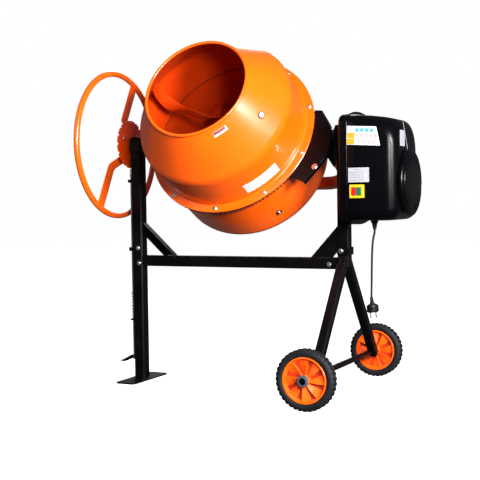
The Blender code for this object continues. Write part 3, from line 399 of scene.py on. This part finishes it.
# ---------------------------------------------------------------- drum
# radii from the drum axis and levels along it, from the tilting axis; _ROUND is the radius of a bend
SHEET = 0.002
MOUTH_R, MOUTH_S, LIP_R = 0.185, 0.338, 0.0055
SHOULDER_R, SHOULDER_S, SHOULDER_ROUND = 0.2874, 0.178, 0.055
FLANGE_R, FLANGE_S, FLANGE_T = 0.3143, 0.0397, 0.0025
BOWL_R, BOWL_S, BOWL_ROUND, BOWL_TIP = 0.295, -0.217, 0.055, -0.245


def upper_profile(inset, steps):
    """The shoulder's arc and the straight cone that leaves it, up to the mouth."""
    centre = (SHOULDER_R - SHOULDER_ROUND, SHOULDER_S)
    reach = SHOULDER_ROUND - inset
    mouth = (MOUTH_R - inset * 0.8, MOUTH_S - inset * 0.6)
    away = (mouth[0] - centre[0], mouth[1] - centre[1])
    lean = atan2(away[1], away[0]) - acos(reach / hypot(*away))
    return arc(centre, reach, 0, lean * 180 / pi, steps) + [mouth]


def paint_inside_shade(made):
    """The faces that look at the drum's axis, and the floor of the bowl, take a darker copy of the orange
    enamel: painted shade inside the drum.
    """
    to_drum = AXIS.inverted()
    made.data.materials.append(SHADED_INSIDE)
    for face in made.data.polygons:
        centre, normal = to_drum @ face.center, to_drum.to_3x3() @ face.normal
        outwards = normal.dot(Vector((centre.x, centre.y, 0)).normalized())
        wall = outwards < -0.15 and centre.z < MOUTH_S - 0.008
        floor = normal.z > 0.3 and centre.z < BOWL_S + 0.03
        if wall or floor:
            face.material_index = 1


def drum():
    outer, inner = upper_profile(0, 14), upper_profile(SHEET, 10)
    top = FLANGE_S + FLANGE_T
    foot = arc((SHOULDER_R + 0.003, top + 0.004), 0.004, 270, 180, 4)
    lip = arc((MOUTH_R, MOUTH_S), LIP_R, -50, 175, 12)
    flange = [(inner[0][0], FLANGE_S + 0.0002), (FLANGE_R - 0.0008, FLANGE_S + 0.0002),
              (FLANGE_R, FLANGE_S + 0.001), (FLANGE_R, top - 0.0006), (FLANGE_R - 0.0006, top)]
    profile = flange + foot + outer[:-1] + lip + list(reversed(inner[:-1]))
    paint_inside_shade(piece("drum_upper_skin", turned(profile, 144), ORANGE, "drum", AXIS, ["drum_upper"]))

    low = FLANGE_S - 0.0003 - FLANGE_T
    centre = (BOWL_R - BOWL_ROUND, BOWL_S + BOWL_ROUND)
    outer = [(BOWL_R, low)] + arc(centre, BOWL_ROUND, 0, -84, 14)
    outer += [(0.062, BOWL_TIP + 0.0018), (0, BOWL_TIP)]
    inner = [(BOWL_R - SHEET, low)] + arc(centre, BOWL_ROUND - SHEET, 0, -84, 10) + [(0, BOWL_TIP + SHEET)]
    flange = [(FLANGE_R - 0.0006, low), (FLANGE_R, low + 0.0006), (FLANGE_R, low + FLANGE_T - 0.0008),
              (FLANGE_R - 0.0008, low + FLANGE_T), (inner[0][0], low + FLANGE_T)]
    profile = list(reversed(outer)) + flange + inner[1:]
    paint_inside_shade(piece("drum_lower_skin", turned(profile, 144, closed=False), ORANGE, "drum", AXIS,
                       ["drum_lower"]))

    seal = [(0.2838, FLANGE_S - 0.0004), (0.2935, FLANGE_S - 0.0024), (0.2945, FLANGE_S - 0.0004),
            (0.2862, FLANGE_S + 0.0018), (0.2838, FLANGE_S + 0.0018)]
    piece("drum_seal", turned(seal, 120), IRON, "drum", AXIS)

    for i in range(10):
        screw(f"flange_screw_{i + 1}", on_drum(0.3005, top, 18.9 + 36 * i, 90), "drum", 0.0062, 0.0088)
    for number, half_turn in ((1, 0), (2, 180)):
        paddle_screw("cone", number, on_drum(0.2385, 0.2645, half_turn - 17.9, 35.8))
        paddle_screw("bowl", number, on_drum(0.2952, -0.111, half_turn - 53.7))


def paddle_screw(tag, number, place):
    """A screw on a dished rubber washer."""
    thick = 0.0024
    rubber = [(0.002, 0), (0.0112, 0), (0.0118, 0.0010), (0.0110, 0.0022), (0.002, thick)]
    piece(f"{tag}_washer_{number}", turned(rubber, 32), CORD, "drum", place)
    screw(f"{tag}_screw_{number}", place @ at(0, 0, thick), "drum", 0.0056, 0.0076)


def paddle(name, start):
    """A bowed, twisted blade with rolled edges, on a lug at each end."""
    # level, distance from the axis, degrees from the start, half width, lean in degrees
    stations = [
        (0.262, 0.2275, 0, 0.016, 0), (0.200, 0.245, -1, 0.019, 15), (0.120, 0.228, -2, 0.024, 42),
        (0.060, 0.206, -9, 0.026, 58), (0.000, 0.180, -17, 0.026, 52), (-0.055, 0.205, -27, 0.024, 40),
        (-0.110, 0.284, -36, 0.016, 0),
    ]
    rings = []
    for level, reach, offset, half, lean in smooth_route(stations, 8):
        turn, tilt = radians(start + offset), radians(lean)
        ring = []
        for u, v in rounded(half, 0.002, 0.0015, 3):
            sideways = u * cos(tilt) - v * sin(tilt)
            r = reach + u * sin(tilt) + v * cos(tilt)
            ring.append((r * cos(turn) - sideways * sin(turn), r * sin(turn) + sideways * cos(turn), level))
        rings.append(ring)
    # The blade takes the darker inside orange: painted shade.
    piece(f"{name}_blade", bridged(rings), SHADED_INSIDE, "drum", AXIS, [name], smooth=40)


# ---------------------------------------------------------------- yoke and handwheel
def yoke():
    arm, bend, cross = 0.337, 0.100, -0.335
    corner = arc((arm - bend, cross + bend), bend, 0, -90, 18)
    half = [(arm, 0.028)] + corner
    path = half + [(-x, s) for x, s in reversed(half)]
    # The yoke and its welds take the darker orange: painted shade.
    piece("yoke_tube", swept(path, 0.015, 0.0225, 0.006), SHADED_ORANGE, "yoke", AXIS, ["yoke"],
          smooth=30)
    for tag, side, radius in (("left", -1, 0.0172), ("right", 1, 0.0262)):
        weld = [(radius * cos(turn), radius * sin(turn), 0) for turn in (2 * pi * i / 60 for i in range(60))]
        bead = tube(weld + weld[:1], 0.0024, 8)
        piece(f"trunnion_weld_{tag}", bead, SHADED_ORANGE, "yoke", at(DRUM_X + side * 0.3530, 0, TILT_Z, TO_X))


def handwheel():
    """A round rim in its own plane, and one bent strip for both spokes through the hub."""
    plane, hub = -0.572, -0.5275
    place = AXIS @ at(plane - DRUM_X, 0, 0) @ TO_X
    turns = [2 * pi * i / 20 for i in range(20)]
    rim = turned([(0.2697 + 0.011 * cos(turn), 0.011 * sin(turn)) for turn in turns], 160)
    spoke = [(0.2645, 0), (0.104, 0), (0.0965, 0.0022), (0.0900, 0.0062), (0.0660, 0.0368), (0.0610, 0.0425),
             (0.0540, hub - plane)]
    strip = swept(spoke + [(-x, z) for x, z in reversed(spoke)], 0.002, 0.020, 0.0015, 2)
    strip = moved(strip, Matrix.Rotation(pi / 2, 4, "Z"))
    piece("handwheel_rim", rim, ORANGE, "yoke", place, ["handwheel"])
    piece("handwheel_spokes", strip, ORANGE, "yoke", place, smooth=50)
    for tag, side in (("lower", -1), ("upper", 1)):
        weld = [(-0.018 + 0.036 * i / 24, side * 0.25931, 0.0035) for i in range(25)]
        piece(f"spoke_weld_{tag}", tube(weld, 0.0026, 8), ORANGE, "yoke", place)


def locking_disc():
    teeth, radius, deep, half = 16, 0.090, 0.008, 0.004
    edge = half / radius
    floor = radius - deep
    outline = []
    for i in range(teeth):
        centre = pi + 2 * pi * i / teeth
        for side in (-1, 1):
            corner = (floor * cos(centre) - side * half * sin(centre),
                      floor * sin(centre) + side * half * cos(centre))
            rim = (radius * cos(centre + side * edge), radius * sin(centre + side * edge))
            outline += [rim, corner] if side < 0 else [corner, rim]
        for k in range(1, 8):
            turn = centre + edge + (2 * pi / teeth - 2 * edge) * k / 8
            outline.append((radius * cos(turn), radius * sin(turn)))
    bore = [(0.0155 * cos(atan2(y, x)), 0.0155 * sin(atan2(y, x))) for x, y in outline]
    sides = ((outline, -0.0025), (outline, 0.0025), (bore, 0.0025), (bore, -0.0025))
    rings = [[(x, y, z) for x, y in points] for points, z in sides]
    # The disc takes the darker orange: painted shade.
    piece("locking_disc_plate", bridged(rings, loop=True), SHADED_ORANGE, "yoke", at(-0.514, 0, TILT_Z, TO_X),
          ["locking_disc"], smooth=25, bevel=0.0004)
    for i in range(3):
        turn = radians(35 + 120 * i)
        spot = at(-0.5114, 0.052 * cos(turn), TILT_Z + 0.052 * sin(turn), TO_X)
        screw(f"disc_screw_{i + 1}", spot, "yoke", 0.0050, 0.0070)


# ---------------------------------------------------------------- motor unit
HOUSING_Y, HOUSING_LOW, HOUSING_HIGH = 0.1286, 0.597, 0.952
HOUSING_BACK, HOUSING_JOINT, HOUSING_FACE = 0.371, 0.404, 0.5735     # along X, from the post outwards
HOUSING_WALL = HOUSING_Y - 0.0015                                    # half depth of the outer half
MOTOR_Z = 0.722


def section(x, half_y, low, high, top_round, low_round, arch=0.0, between=0):
    """One outline of the housing at x, with its own corner radius above and below.

    arch lifts the middle of the top and lowers the middle of the foot, at points set between the corners.
    """
    middle, half_z = (low + high) / 2, (high - low) / 2
    points = []
    for number, (side, way) in enumerate(((1, 1), (-1, 1), (-1, -1), (1, -1))):
        corner = top_round if way > 0 else low_round
        for step in range(10):
            turn = pi / 2 * (number + step / 9)
            points.append((side * (half_y - corner) + corner * cos(turn),
                           way * (half_z - corner) + corner * sin(turn)))
        if number in (0, 2):
            edge, level = half_y - corner, way * half_z
            for step in range(1, between + 1):
                points.append((way * edge * (1 - 2 * step / (between + 1)), level))
    outline = []
    for y, z in points:
        rise = arch * max(0.0, 1 - (y / (half_y * 0.80)) ** 2) * z / half_z
        outline.append((x, y, middle + z + rise))
    return outline


def inner_housing():
    low, high = HOUSING_LOW - 0.001, HOUSING_HIGH + 0.001
    front = HOUSING_JOINT - 0.0004
    steps = ((front, 0.0035), (front, 0.0006), (front - 0.0008, 0.0), (HOUSING_BACK + 0.010, 0.0),
             (HOUSING_BACK + 0.0055, 0.0012), (HOUSING_BACK + 0.0018, 0.0046), (HOUSING_BACK, 0.0095),
             (HOUSING_BACK, 0.060))
    rings = []
    for x, inset in steps:
        corner = max(0.036 - inset, 0.008)
        rings.append(section(x, HOUSING_Y - inset, low + inset, high - inset, corner, corner, 0.0133, 11))
    piece("inner_housing_shell", bridged(rings), PLASTIC, "frame", None, ["inner_housing"],
          smooth=28)


def outer_housing():
    start = HOUSING_JOINT + 0.0002
    # x, how far the sides come in, how far the top comes down, radius of the top corners
    steps = (
        (start, 0.0032, 0.0, 0.036), (start, 0.0008, 0.0, 0.037), (start + 0.0008, 0.0, 0.0, 0.038),
        (0.440, 0.0, 0.0030, 0.040), (0.470, 0.0, 0.0062, 0.043), (0.500, 0.0002, 0.0100, 0.049),
        (0.520, 0.0004, 0.0128, 0.056), (0.537, 0.0008, 0.0160, 0.066), (0.545, 0.0022, 0.0176, 0.071),
        (0.552, 0.0050, 0.0192, 0.076), (0.5585, 0.0090, 0.0208, 0.080), (0.5640, 0.0145, 0.0222, 0.083),
        (0.5690, 0.0220, 0.0236, 0.084), (0.5718, 0.0300, 0.0246, 0.082), (0.5733, 0.0390, 0.0250, 0.078),
        (HOUSING_FACE, 0.0500, 0.0250, 0.070),
    )
    rings = []
    for x, inset, drop, top_round in steps:
        rings.append(section(x, HOUSING_WALL - inset, HOUSING_LOW + inset, HOUSING_HIGH - drop - inset * 0.55,
                             top_round, max(0.038 - inset * 0.5, 0.012)))
    piece("outer_housing_shell", bridged(rings), PLASTIC, "frame", None, ["outer_housing"],
          smooth=45)


def housing_seam_highlight():
    """The thin bright line across the outer face: a silver wire on the seam, a painted highlight."""
    seam = [(HOUSING_FACE, -0.052 + 0.054 * i / 20, 0.9215 - 0.0975 * i / 20) for i in range(21)]
    piece("housing_seam_highlight", tube(seam, 0.0008, 8), SILVER, "frame")


def fan_cover():
    """A shallow dome with a groove near its edge and ribs over its middle."""
    face, reach = HOUSING_FACE + 0.0003, 0.112
    dome = [(0, face), (reach - 0.003, face), (reach, face + 0.0015), (reach, face + 0.0100),
            (reach - 0.0022, face + 0.0135), (reach - 0.0070, face + 0.0165), (reach - 0.0120, face + 0.0172),
            (reach - 0.0135, face + 0.0150), (reach - 0.0165, face + 0.0150), (reach - 0.0180, face + 0.0176),
            (0.060, face + 0.0198), (0.030, face + 0.0199), (0, face + 0.0199)]
    centre = at(0, 0, MOTOR_Z, TO_X)
    piece("fan_cover_dome", turned(dome, 120, closed=False), PLASTIC, "frame", centre, ["fan_cover"],
          smooth=30)
    for i in range(24):
        rib = slab(rounded(0.0250, 0.0016, 0.0012, 3), face + 0.0178, face + 0.0200)
        place = centre @ Matrix.Rotation(2 * pi * i / 24, 4, "Z") @ at(0.066, 0, 0)
        piece(f"fan_cover_rib_{i + 1:02d}", rib, PLASTIC, "frame", place, smooth=30)


PLATE_BACK, PLATE_TOP, PRINT_TOP = 0.0002, 0.0007, 0.0010      # levels over the surface that a plate lies on


def patch(u, v, half_u, half_v, corner, per_corner, low=PLATE_BACK, high=PLATE_TOP):
    """A flat rectangle with its middle at (u, v)."""
    return slab([(u + du, v + dv) for du, dv in rounded(half_u, half_v, corner, per_corner)], low, high)


def front_plate(level):
    """The plain safety plate: dots, rings and blocks where the real one has pictograms."""
    place = level @ at(0.404, 0.877, 0) @ Matrix.Rotation(radians(-3.6), 4, "Z") @ at(-0.404, -0.877, 0)
    outline = [(0.4035, 0.8500), (0.5205, 0.8500), (0.5120, 0.8830), (0.5035, 0.9115), (0.4035, 0.9115)]
    piece("front_plate", slab(outline, PLATE_BACK, PLATE_TOP), PAPER, "frame", place)
    for i in range(4):
        dot = turned(disc_profile(0.0066), 24, closed=False)
        piece(f"front_plate_blue_{i + 1}", dot, BLUE, "frame", place @ at(0.4385 + 0.0168 * i, 0.8990, 0))
    band = [(0.0044, PLATE_TOP), (0.0063, PLATE_TOP), (0.0063, PRINT_TOP), (0.0044, PRINT_TOP)]
    for row in range(2):
        level_v = 0.8805 - 0.0200 * row
        block = patch(0.4183, level_v, 0.0133, 0.0094, 0.0012, 2, PLATE_TOP, PRINT_TOP)
        piece(f"front_plate_amber_{row + 1}", block, AMBER, "frame", place)
        for i in range(5 - row):
            ring = turned(band, 24)
            dot = turned(disc_profile(0.0024), 16, closed=False)
            spot = place @ at(0.4400 + 0.0160 * i + 0.0110 * row, level_v, 0)
            piece(f"front_plate_ring_{row + 1}_{i + 1}", ring, ROSE, "frame", spot)
            piece(f"front_plate_dot_{row + 1}_{i + 1}", dot, GREY, "frame", spot)


def disc_profile(radius):
    return [(0, PLATE_TOP), (radius, PLATE_TOP), (radius, PRINT_TOP), (0, PRINT_TOP)]


def plates():
    """Plain stickers on the housing: no lettering and no pictograms."""
    level = at(0, -HOUSING_WALL, 0, TO_FRONT)
    front_plate(level)
    piece("rating_plate", patch(0.444, 0.749, 0.036, 0.024, 0.0015, 3), SILVER, "frame", level)
    for i in range(5):
        u, half = (0.442, 0.0140) if i == 0 else (0.438, 0.0245)
        bar = patch(u, 0.7655 - 0.0082 * i, half, 0.0009, 0.0004, 1, PLATE_TOP, 0.0009)
        piece(f"rating_plate_line_{i + 1}", bar, GREY, "frame", level)
    side = slab(rounded(0.026, 0.026, 0.0015, 3), 0.0, 0.0005)
    spot = at(HOUSING_FACE, -0.062, 0.868, Matrix.Rotation(pi / 2, 4, "Z") @ TO_FRONT)
    piece("side_plate", side, SILVER, "frame", spot)


def band_plate(name, levels, radii, ends, lift, material):
    """A thin sticker on the drum, bent to it: its levels and radii below and above, its ends in degrees."""
    (low, high), (low_r, high_r), (start, end) = levels, radii, ends
    under = 0.0001
    outline = ((low_r + lift, low), (high_r + lift, high), (high_r + under, high), (low_r + under, low))
    steps = 30
    rings = []
    for i in range(steps + 1):
        turn = radians(start + (end - start) * i / steps)
        rings.append([(r * cos(turn), r * sin(turn), level) for r, level in outline])
    piece(name, bridged(rings), material, "drum", AXIS, smooth=20)


def drum_plates():
    band_plate("drum_plate", (0.0668, 0.1135), (0.2865, 0.2865), (-62.6, -35.6), 0.0014, PAPER)
    band_plate("cone_plate", (0.3095, 0.3235), (0.2060, 0.1966), (-60.6, -46.3), 0.0010, PAPER)
    band_plate("cone_plate_bar", (0.3160, 0.3232), (0.2026, 0.1970), (-60.2, -47.5), 0.0014, ROSE)


# ---------------------------------------------------------------- wheels
def tyre():
    """A tread of lugs, half a pitch apart on its two sides, and a shallow groove between them."""
    half, radius, lugs, deep = 0.021, 0.100, 36, 0.0035
    profile = mirrored([(0.0750, -0.0165), (0.0790, -0.0195), (0.0850, -half), (0.0905, -0.0203),
                        (0.0945, -0.0178), (radius, -0.0135), (radius, -0.0070), (radius, -0.0015)])
    rings = []
    for i in range(lugs * 4):
        turn = 2 * pi * i / (lugs * 4)
        ring = []
        for r, h in profile:
            gap = (i if h < 0 else i + 2) % 4 == 0
            if r == radius and abs(h) < 0.002:
                r -= deep * 0.7
            elif r == radius and gap:
                r -= deep
            ring.append((r * cos(turn), r * sin(turn), h))
        rings.append(ring)
    return bridged(rings, loop=True)


def vanes():
    """The rim's eight slanted blades on each face, from the hub to the rail."""
    inside, outside = 0.0180, 0.0695
    parts = []
    for face in (-1, 1):
        for blade in range(8):
            rows = []
            for step in range(9):
                part = step / 8
                r = inside + (outside - inside) * part
                width = 0.0048 + 0.0135 * part
                sweep = blade * pi / 4 + face * 0.10 * part
                high = (0.0175 - 0.0045 * part) * 0.96
                row = []
                slope = ((-width, 0.0048), (-width * 0.92, high), (width * 0.55, 0.0062), (width, 0.0048))
                for u, h in slope:
                    turn = sweep + u / r
                    row.append((r * cos(turn), r * sin(turn), face * h))
                rows.append(row)
            parts.append(bridged(rows))
    return parts


def wheel(side, way):
    body = f"{side}_wheel"
    place = at(0.340, way * 0.350, 0.100, TO_FRONT if way < 0 else TO_Y)
    piece(f"{side}_tyre_tread", tyre(), TYRE, body, place, [f"{side}_tyre"], smooth=28)

    web = mirrored([(0.0104, -0.024), (0.0175, -0.024), (0.0185, -0.023), (0.0190, -0.006), (0.0560, -0.0045),
                    (0.0680, -0.0060), (0.0695, -0.0160), (0.0700, -0.0182), (0.0738, -0.0182),
                    (0.0745, -0.0175)])
    # The web behind the vanes takes the dark rim orange: painted shade.
    piece(f"{side}_rim_web", turned(web, 96), RECESS_SHADE, body, place)
    rail = mirrored([(0.0640, -0.0052), (0.0678, -0.0068), (0.0692, -0.0162), (0.0698, -0.0186),
                     (0.0740, -0.0186), (0.0748, -0.0178)])
    sleeve = [(0.0102, -0.0242), (0.0178, -0.0242), (0.0190, -0.0230), (0.0194, 0.0), (0.0190, 0.0230),
              (0.0178, 0.0242), (0.0102, 0.0242)]
    rim = joined(turned(rail, 96), turned(sleeve, 48), *vanes())
    piece(f"{side}_rim_vanes", rim, RIM, body, place, [f"{side}_rim"], smooth=30)

    cap = [(0.0095, 0.0243), (0.0190, 0.0243), (0.0200, 0.0252), (0.0200, 0.0290), (0.0186, 0.0318),
           (0.0140, 0.0334), (0.0118, 0.0334), (0.0112, 0.0300), (0.0095, 0.0300)]
    piece(f"{side}_hub_ring", turned(cap, 48), HUB, body, place, [f"{side}_hub_cap"])
    core = [(0, 0.0250), (0.0110, 0.0250), (0.0110, 0.0312), (0.0095, 0.0322), (0, 0.0326)]
    piece(f"{side}_hub_core", turned(core, 32, closed=False), PLASTIC, body, place)


# ---------------------------------------------------------------- lock spring, cord, small pieces
def spring():
    """The coil under the latch rod's collar, from its seat below up to the collar."""
    x, radius, wire, low, high, turns = -0.5135, 0.0078, 0.0012, 0.2245, 0.3220, 9
    clear = 0.0016
    points = []
    count = turns * 24
    for i in range(count + 1):
        part = i / count
        turn = 2 * pi * turns * part
        closer = part - 0.045 * sin(2 * pi * part)
        height = low + clear + (high - low - 2 * clear) * closer
        points.append((x + radius * cos(turn), radius * sin(turn), height))
    made = shown("lock_spring_wire", tube(points, wire, 8), ZINC, smooth=180)
    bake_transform(made)
    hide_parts("lock_spring")


CORD_X, CORD_Y, CORD_R = 0.465, -0.030, 0.0035
GLAND_TOP = HOUSING_LOW - 0.0003
GLAND_LENGTH = 0.0313


def gland():
    """The ribbed cable gland under the housing."""
    relief = [(0, 0), (0.0125, 0), (0.0125, -0.0050), (0.0112, -0.0060), (0.0108, -0.0080)]
    for i in range(5):
        level, r = -0.0085 - 0.0042 * i, 0.0100 - 0.00085 * i
        neck = r - 0.0014
        relief += [(r, level), (r, level - 0.0020), (neck, level - 0.0024), (neck, level - 0.0038)]
    relief += [(0.0058, -0.0305), (0.0050, -0.0310), (0, -0.0310)]
    piece("cable_gland_ribbed", turned(relief, 40, closed=False), CORD, "frame",
          at(CORD_X, CORD_Y, GLAND_TOP), ["cable_gland"])


def plug(hang):
    """A round two-pin plug with a ribbed neck and two cheeks; its own top is at the cord's end."""
    body = [(0, 0), (0.0048, 0), (0.0056, -0.0008)]
    for i in range(4):
        level, r = -0.0024 - 0.0042 * i, 0.0060 + 0.0005 * i
        neck = r - 0.0013
        body += [(r, level), (r, level - 0.0022), (neck, level - 0.0026), (neck, level - 0.0038)]
    body += [(0.0085, -0.0200), (0.0088, -0.0225), (0.0125, -0.0240), (0.0165, -0.0262), (0.0182, -0.0300),
             (0.0182, -0.0370), (0.0170, -0.0380), (0.0170, -0.0395), (0.0182, -0.0405), (0.0182, -0.0500),
             (0.0172, -0.0525), (0, -0.0528)]
    cheeks = [moved(slab(rounded(0.0030, 0.0110, 0.0022, 3), -0.0500, -0.0285), at(x, 0, 0))
              for x in (-0.0155, 0.0155)]
    grip = joined(turned(body, 48, closed=False), *cheeks)
    parts = [piece("mains_plug", grip, CORD, "frame", hang, ["plug"], smooth=30)]
    pin = [(0, -0.0525), (0.0024, -0.0525), (0.0024, -0.0700), (0.0017, -0.0716), (0, -0.0719)]
    for tag, x in (("left", -0.0095), ("right", 0.0095)):
        place = hang @ at(x, 0, 0)
        parts.append(piece(f"plug_pin_{tag}", turned(pin, 20, closed=False), ZINC, "frame", place))
    return parts


def cord():
    exit_z = GLAND_TOP - GLAND_LENGTH
    route = [
        (0, 0), (-0.0007, -0.010), (-0.0030, -0.020), (-0.0056, -0.032), (-0.0080, -0.050),
        (-0.0096, -0.072), (-0.0106, -0.100), (-0.0114, -0.130), (-0.0121, -0.160),
        (-0.0128, -0.190), (-0.0134, -0.212), (-0.0138, -0.2275),
    ]
    points = [(CORD_X + x, CORD_Y, exit_z + z) for x, z in smooth_route(route, 3)]
    data = bpy.data.curves.new("flex", "CURVE")
    data.dimensions = "3D"
    data.bevel_depth = CORD_R
    data.bevel_resolution = 6
    data.use_fill_caps = True
    line = data.splines.new("POLY")
    line.points.add(len(points) - 1)
    for point, place in zip(line.points, points):
        point.co = (*place, 1)
    line.use_smooth = True
    data.materials.append(CORD)
    flex = bpy.data.objects.new("flex", data)
    bpy.context.scene.collection.objects.link(flex)
    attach(flex, "frame")
    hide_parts("power_cord")
    gland()
    end_x, end_y, end_z = points[-1]
    hung = plug(at(end_x, end_y, end_z - 0.0003, Matrix.Rotation(radians(-6), 4, "Y")))


def stand():
    """CAD parts with their edges broken, and the screws of the frame."""
    for node, material, edge in (
        ("foot_plate", BLACK, 0.0012), ("left_brace", BLACK, 0.0006), ("right_brace", BLACK, 0.0008),
        ("leg_bracket", BLACK, 0.0010), ("left_bearing_block", BLACK, 0.0015),
        ("right_bearing_block", BLACK, 0.0015), ("pinion_guard", BLACK, 0.0007),
        ("upper_rod_guide", BLACK, 0.0008), ("lower_rod_guide", BLACK, 0.0008),
        ("spring_seat", BLACK, 0.0008), ("pedal", BLACK, 0.0006), ("trunnion_nut", ZINC, 0.0008),
    ):
        cad_copy(node, material, edge)
    for name, x, half_y, z in (
        ("left_upper_screw", -0.4755, 0.0215, 0.496), ("left_lower_screw", -0.4725, 0.0215, 0.439),
        ("post_screw", 0.3405, 0.0240, 0.492), ("crossbar_screw", 0.2955, 0.0200, 0.445),
    ):
        screw(name, at(x, -half_y, z, TO_FRONT), "frame", 0.0068, 0.0086)
        screw(f"{name}_nut", at(x, half_y, z, TO_Y), "frame", 0.0066, 0.0086)


def paint_nodes():
    """The CAD parts that are shown as they are."""
    for material, names in (
        (BLACK, ("left_leg", "crossbar", "right_post", "front_wheel_leg", "rear_wheel_leg", "axle")),
        (STEEL, ("left_trunnion", "right_trunnion", "handwheel_spacer", "drum_hub", "drive_shaft",
                 "motor_shaft", "motor_pulley", "motor_plate", "motor_body", "shaft_bearing")),
        (IRON, ("ring_gear", "pinion", "drum_bearing")),
        (PLASTIC, ("large_pulley", "cooling_fan")),
        (CORD, ("drive_belt",)),
        (ZINC, ("lock_rod", "pedal_pin", "guard_bolt")),
        (YELLOW, ("switch_box",)),
        (RED, ("stop_button",)),
        (GREEN, ("start_button",)),
    ):
        for name in names:
            data = NODES[name].data
            data.materials.clear()
            data.materials.append(material)


# ---------------------------------------------------------------- studio
def floor():
    reach = 40
    corners = ((-reach, -reach), (reach, -reach), (reach, reach), (-reach, reach))
    bm = bmesh.new()
    bm.faces.new([bm.verts.new((x, y, -0.0005)) for x, y in corners])
    data = bpy.data.meshes.new("floor")
    bm.to_mesh(data)
    bm.free()
    made = bpy.data.objects.new("floor", data)
    bpy.context.scene.collection.objects.link(made)
    paint = finish("studio_floor", (0.62, 0.62, 0.62), (0.66, 0.66, 0.66), (0.7, 0.8), 0, 0.6, (30, 0.01),
                   specular=0.1)
    glow = paint.node_tree.nodes["Principled BSDF"]
    glow.inputs["Emission Color"].default_value = (1, 1, 1, 1)
    glow.inputs["Emission Strength"].default_value = 0.92
    data.materials.append(paint)
    made.visible_diffuse = False
    made.visible_glossy = False


def surroundings():
    """White to the camera, dim to the object."""
    world = bpy.data.worlds.new("studio")
    bpy.context.scene.world = world
    world.use_nodes = True
    tree = world.node_tree
    back = tree.nodes["Background"]
    back.inputs["Color"].default_value = (1, 1, 1, 1)
    seen = tree.nodes.new("ShaderNodeMapRange")
    seen.inputs["To Min"].default_value = AMBIENT
    seen.inputs["To Max"].default_value = 1.0
    tree.links.new(tree.nodes.new("ShaderNodeLightPath").outputs["Is Camera Ray"], seen.inputs["Value"])
    tree.links.new(seen.outputs["Result"], back.inputs["Strength"])


def lamps():
    for name, place, aim, size, power in LAMPS:
        lamp = bpy.data.lights.new(name, "AREA")
        lamp.size = size
        lamp.energy = power
        made = bpy.data.objects.new(name, lamp)
        bpy.context.scene.collection.objects.link(made)
        made.location = place
        made.rotation_euler = (Vector(aim) - Vector(place)).to_track_quat("-Z", "Y").to_euler()


def studio():
    floor()
    surroundings()
    lamps()
    bpy.context.scene.view_settings.view_transform = "Standard"


camera()
cord()
drum()
paddle("mixing_paddle_1", -18)
paddle("mixing_paddle_2", 162)
yoke()
handwheel()
locking_disc()
inner_housing()
outer_housing()
fan_cover()
housing_seam_highlight()
plates()
drum_plates()
wheel("front", -1)
wheel("rear", 1)
spring()
stand()
paint_nodes()
studio()
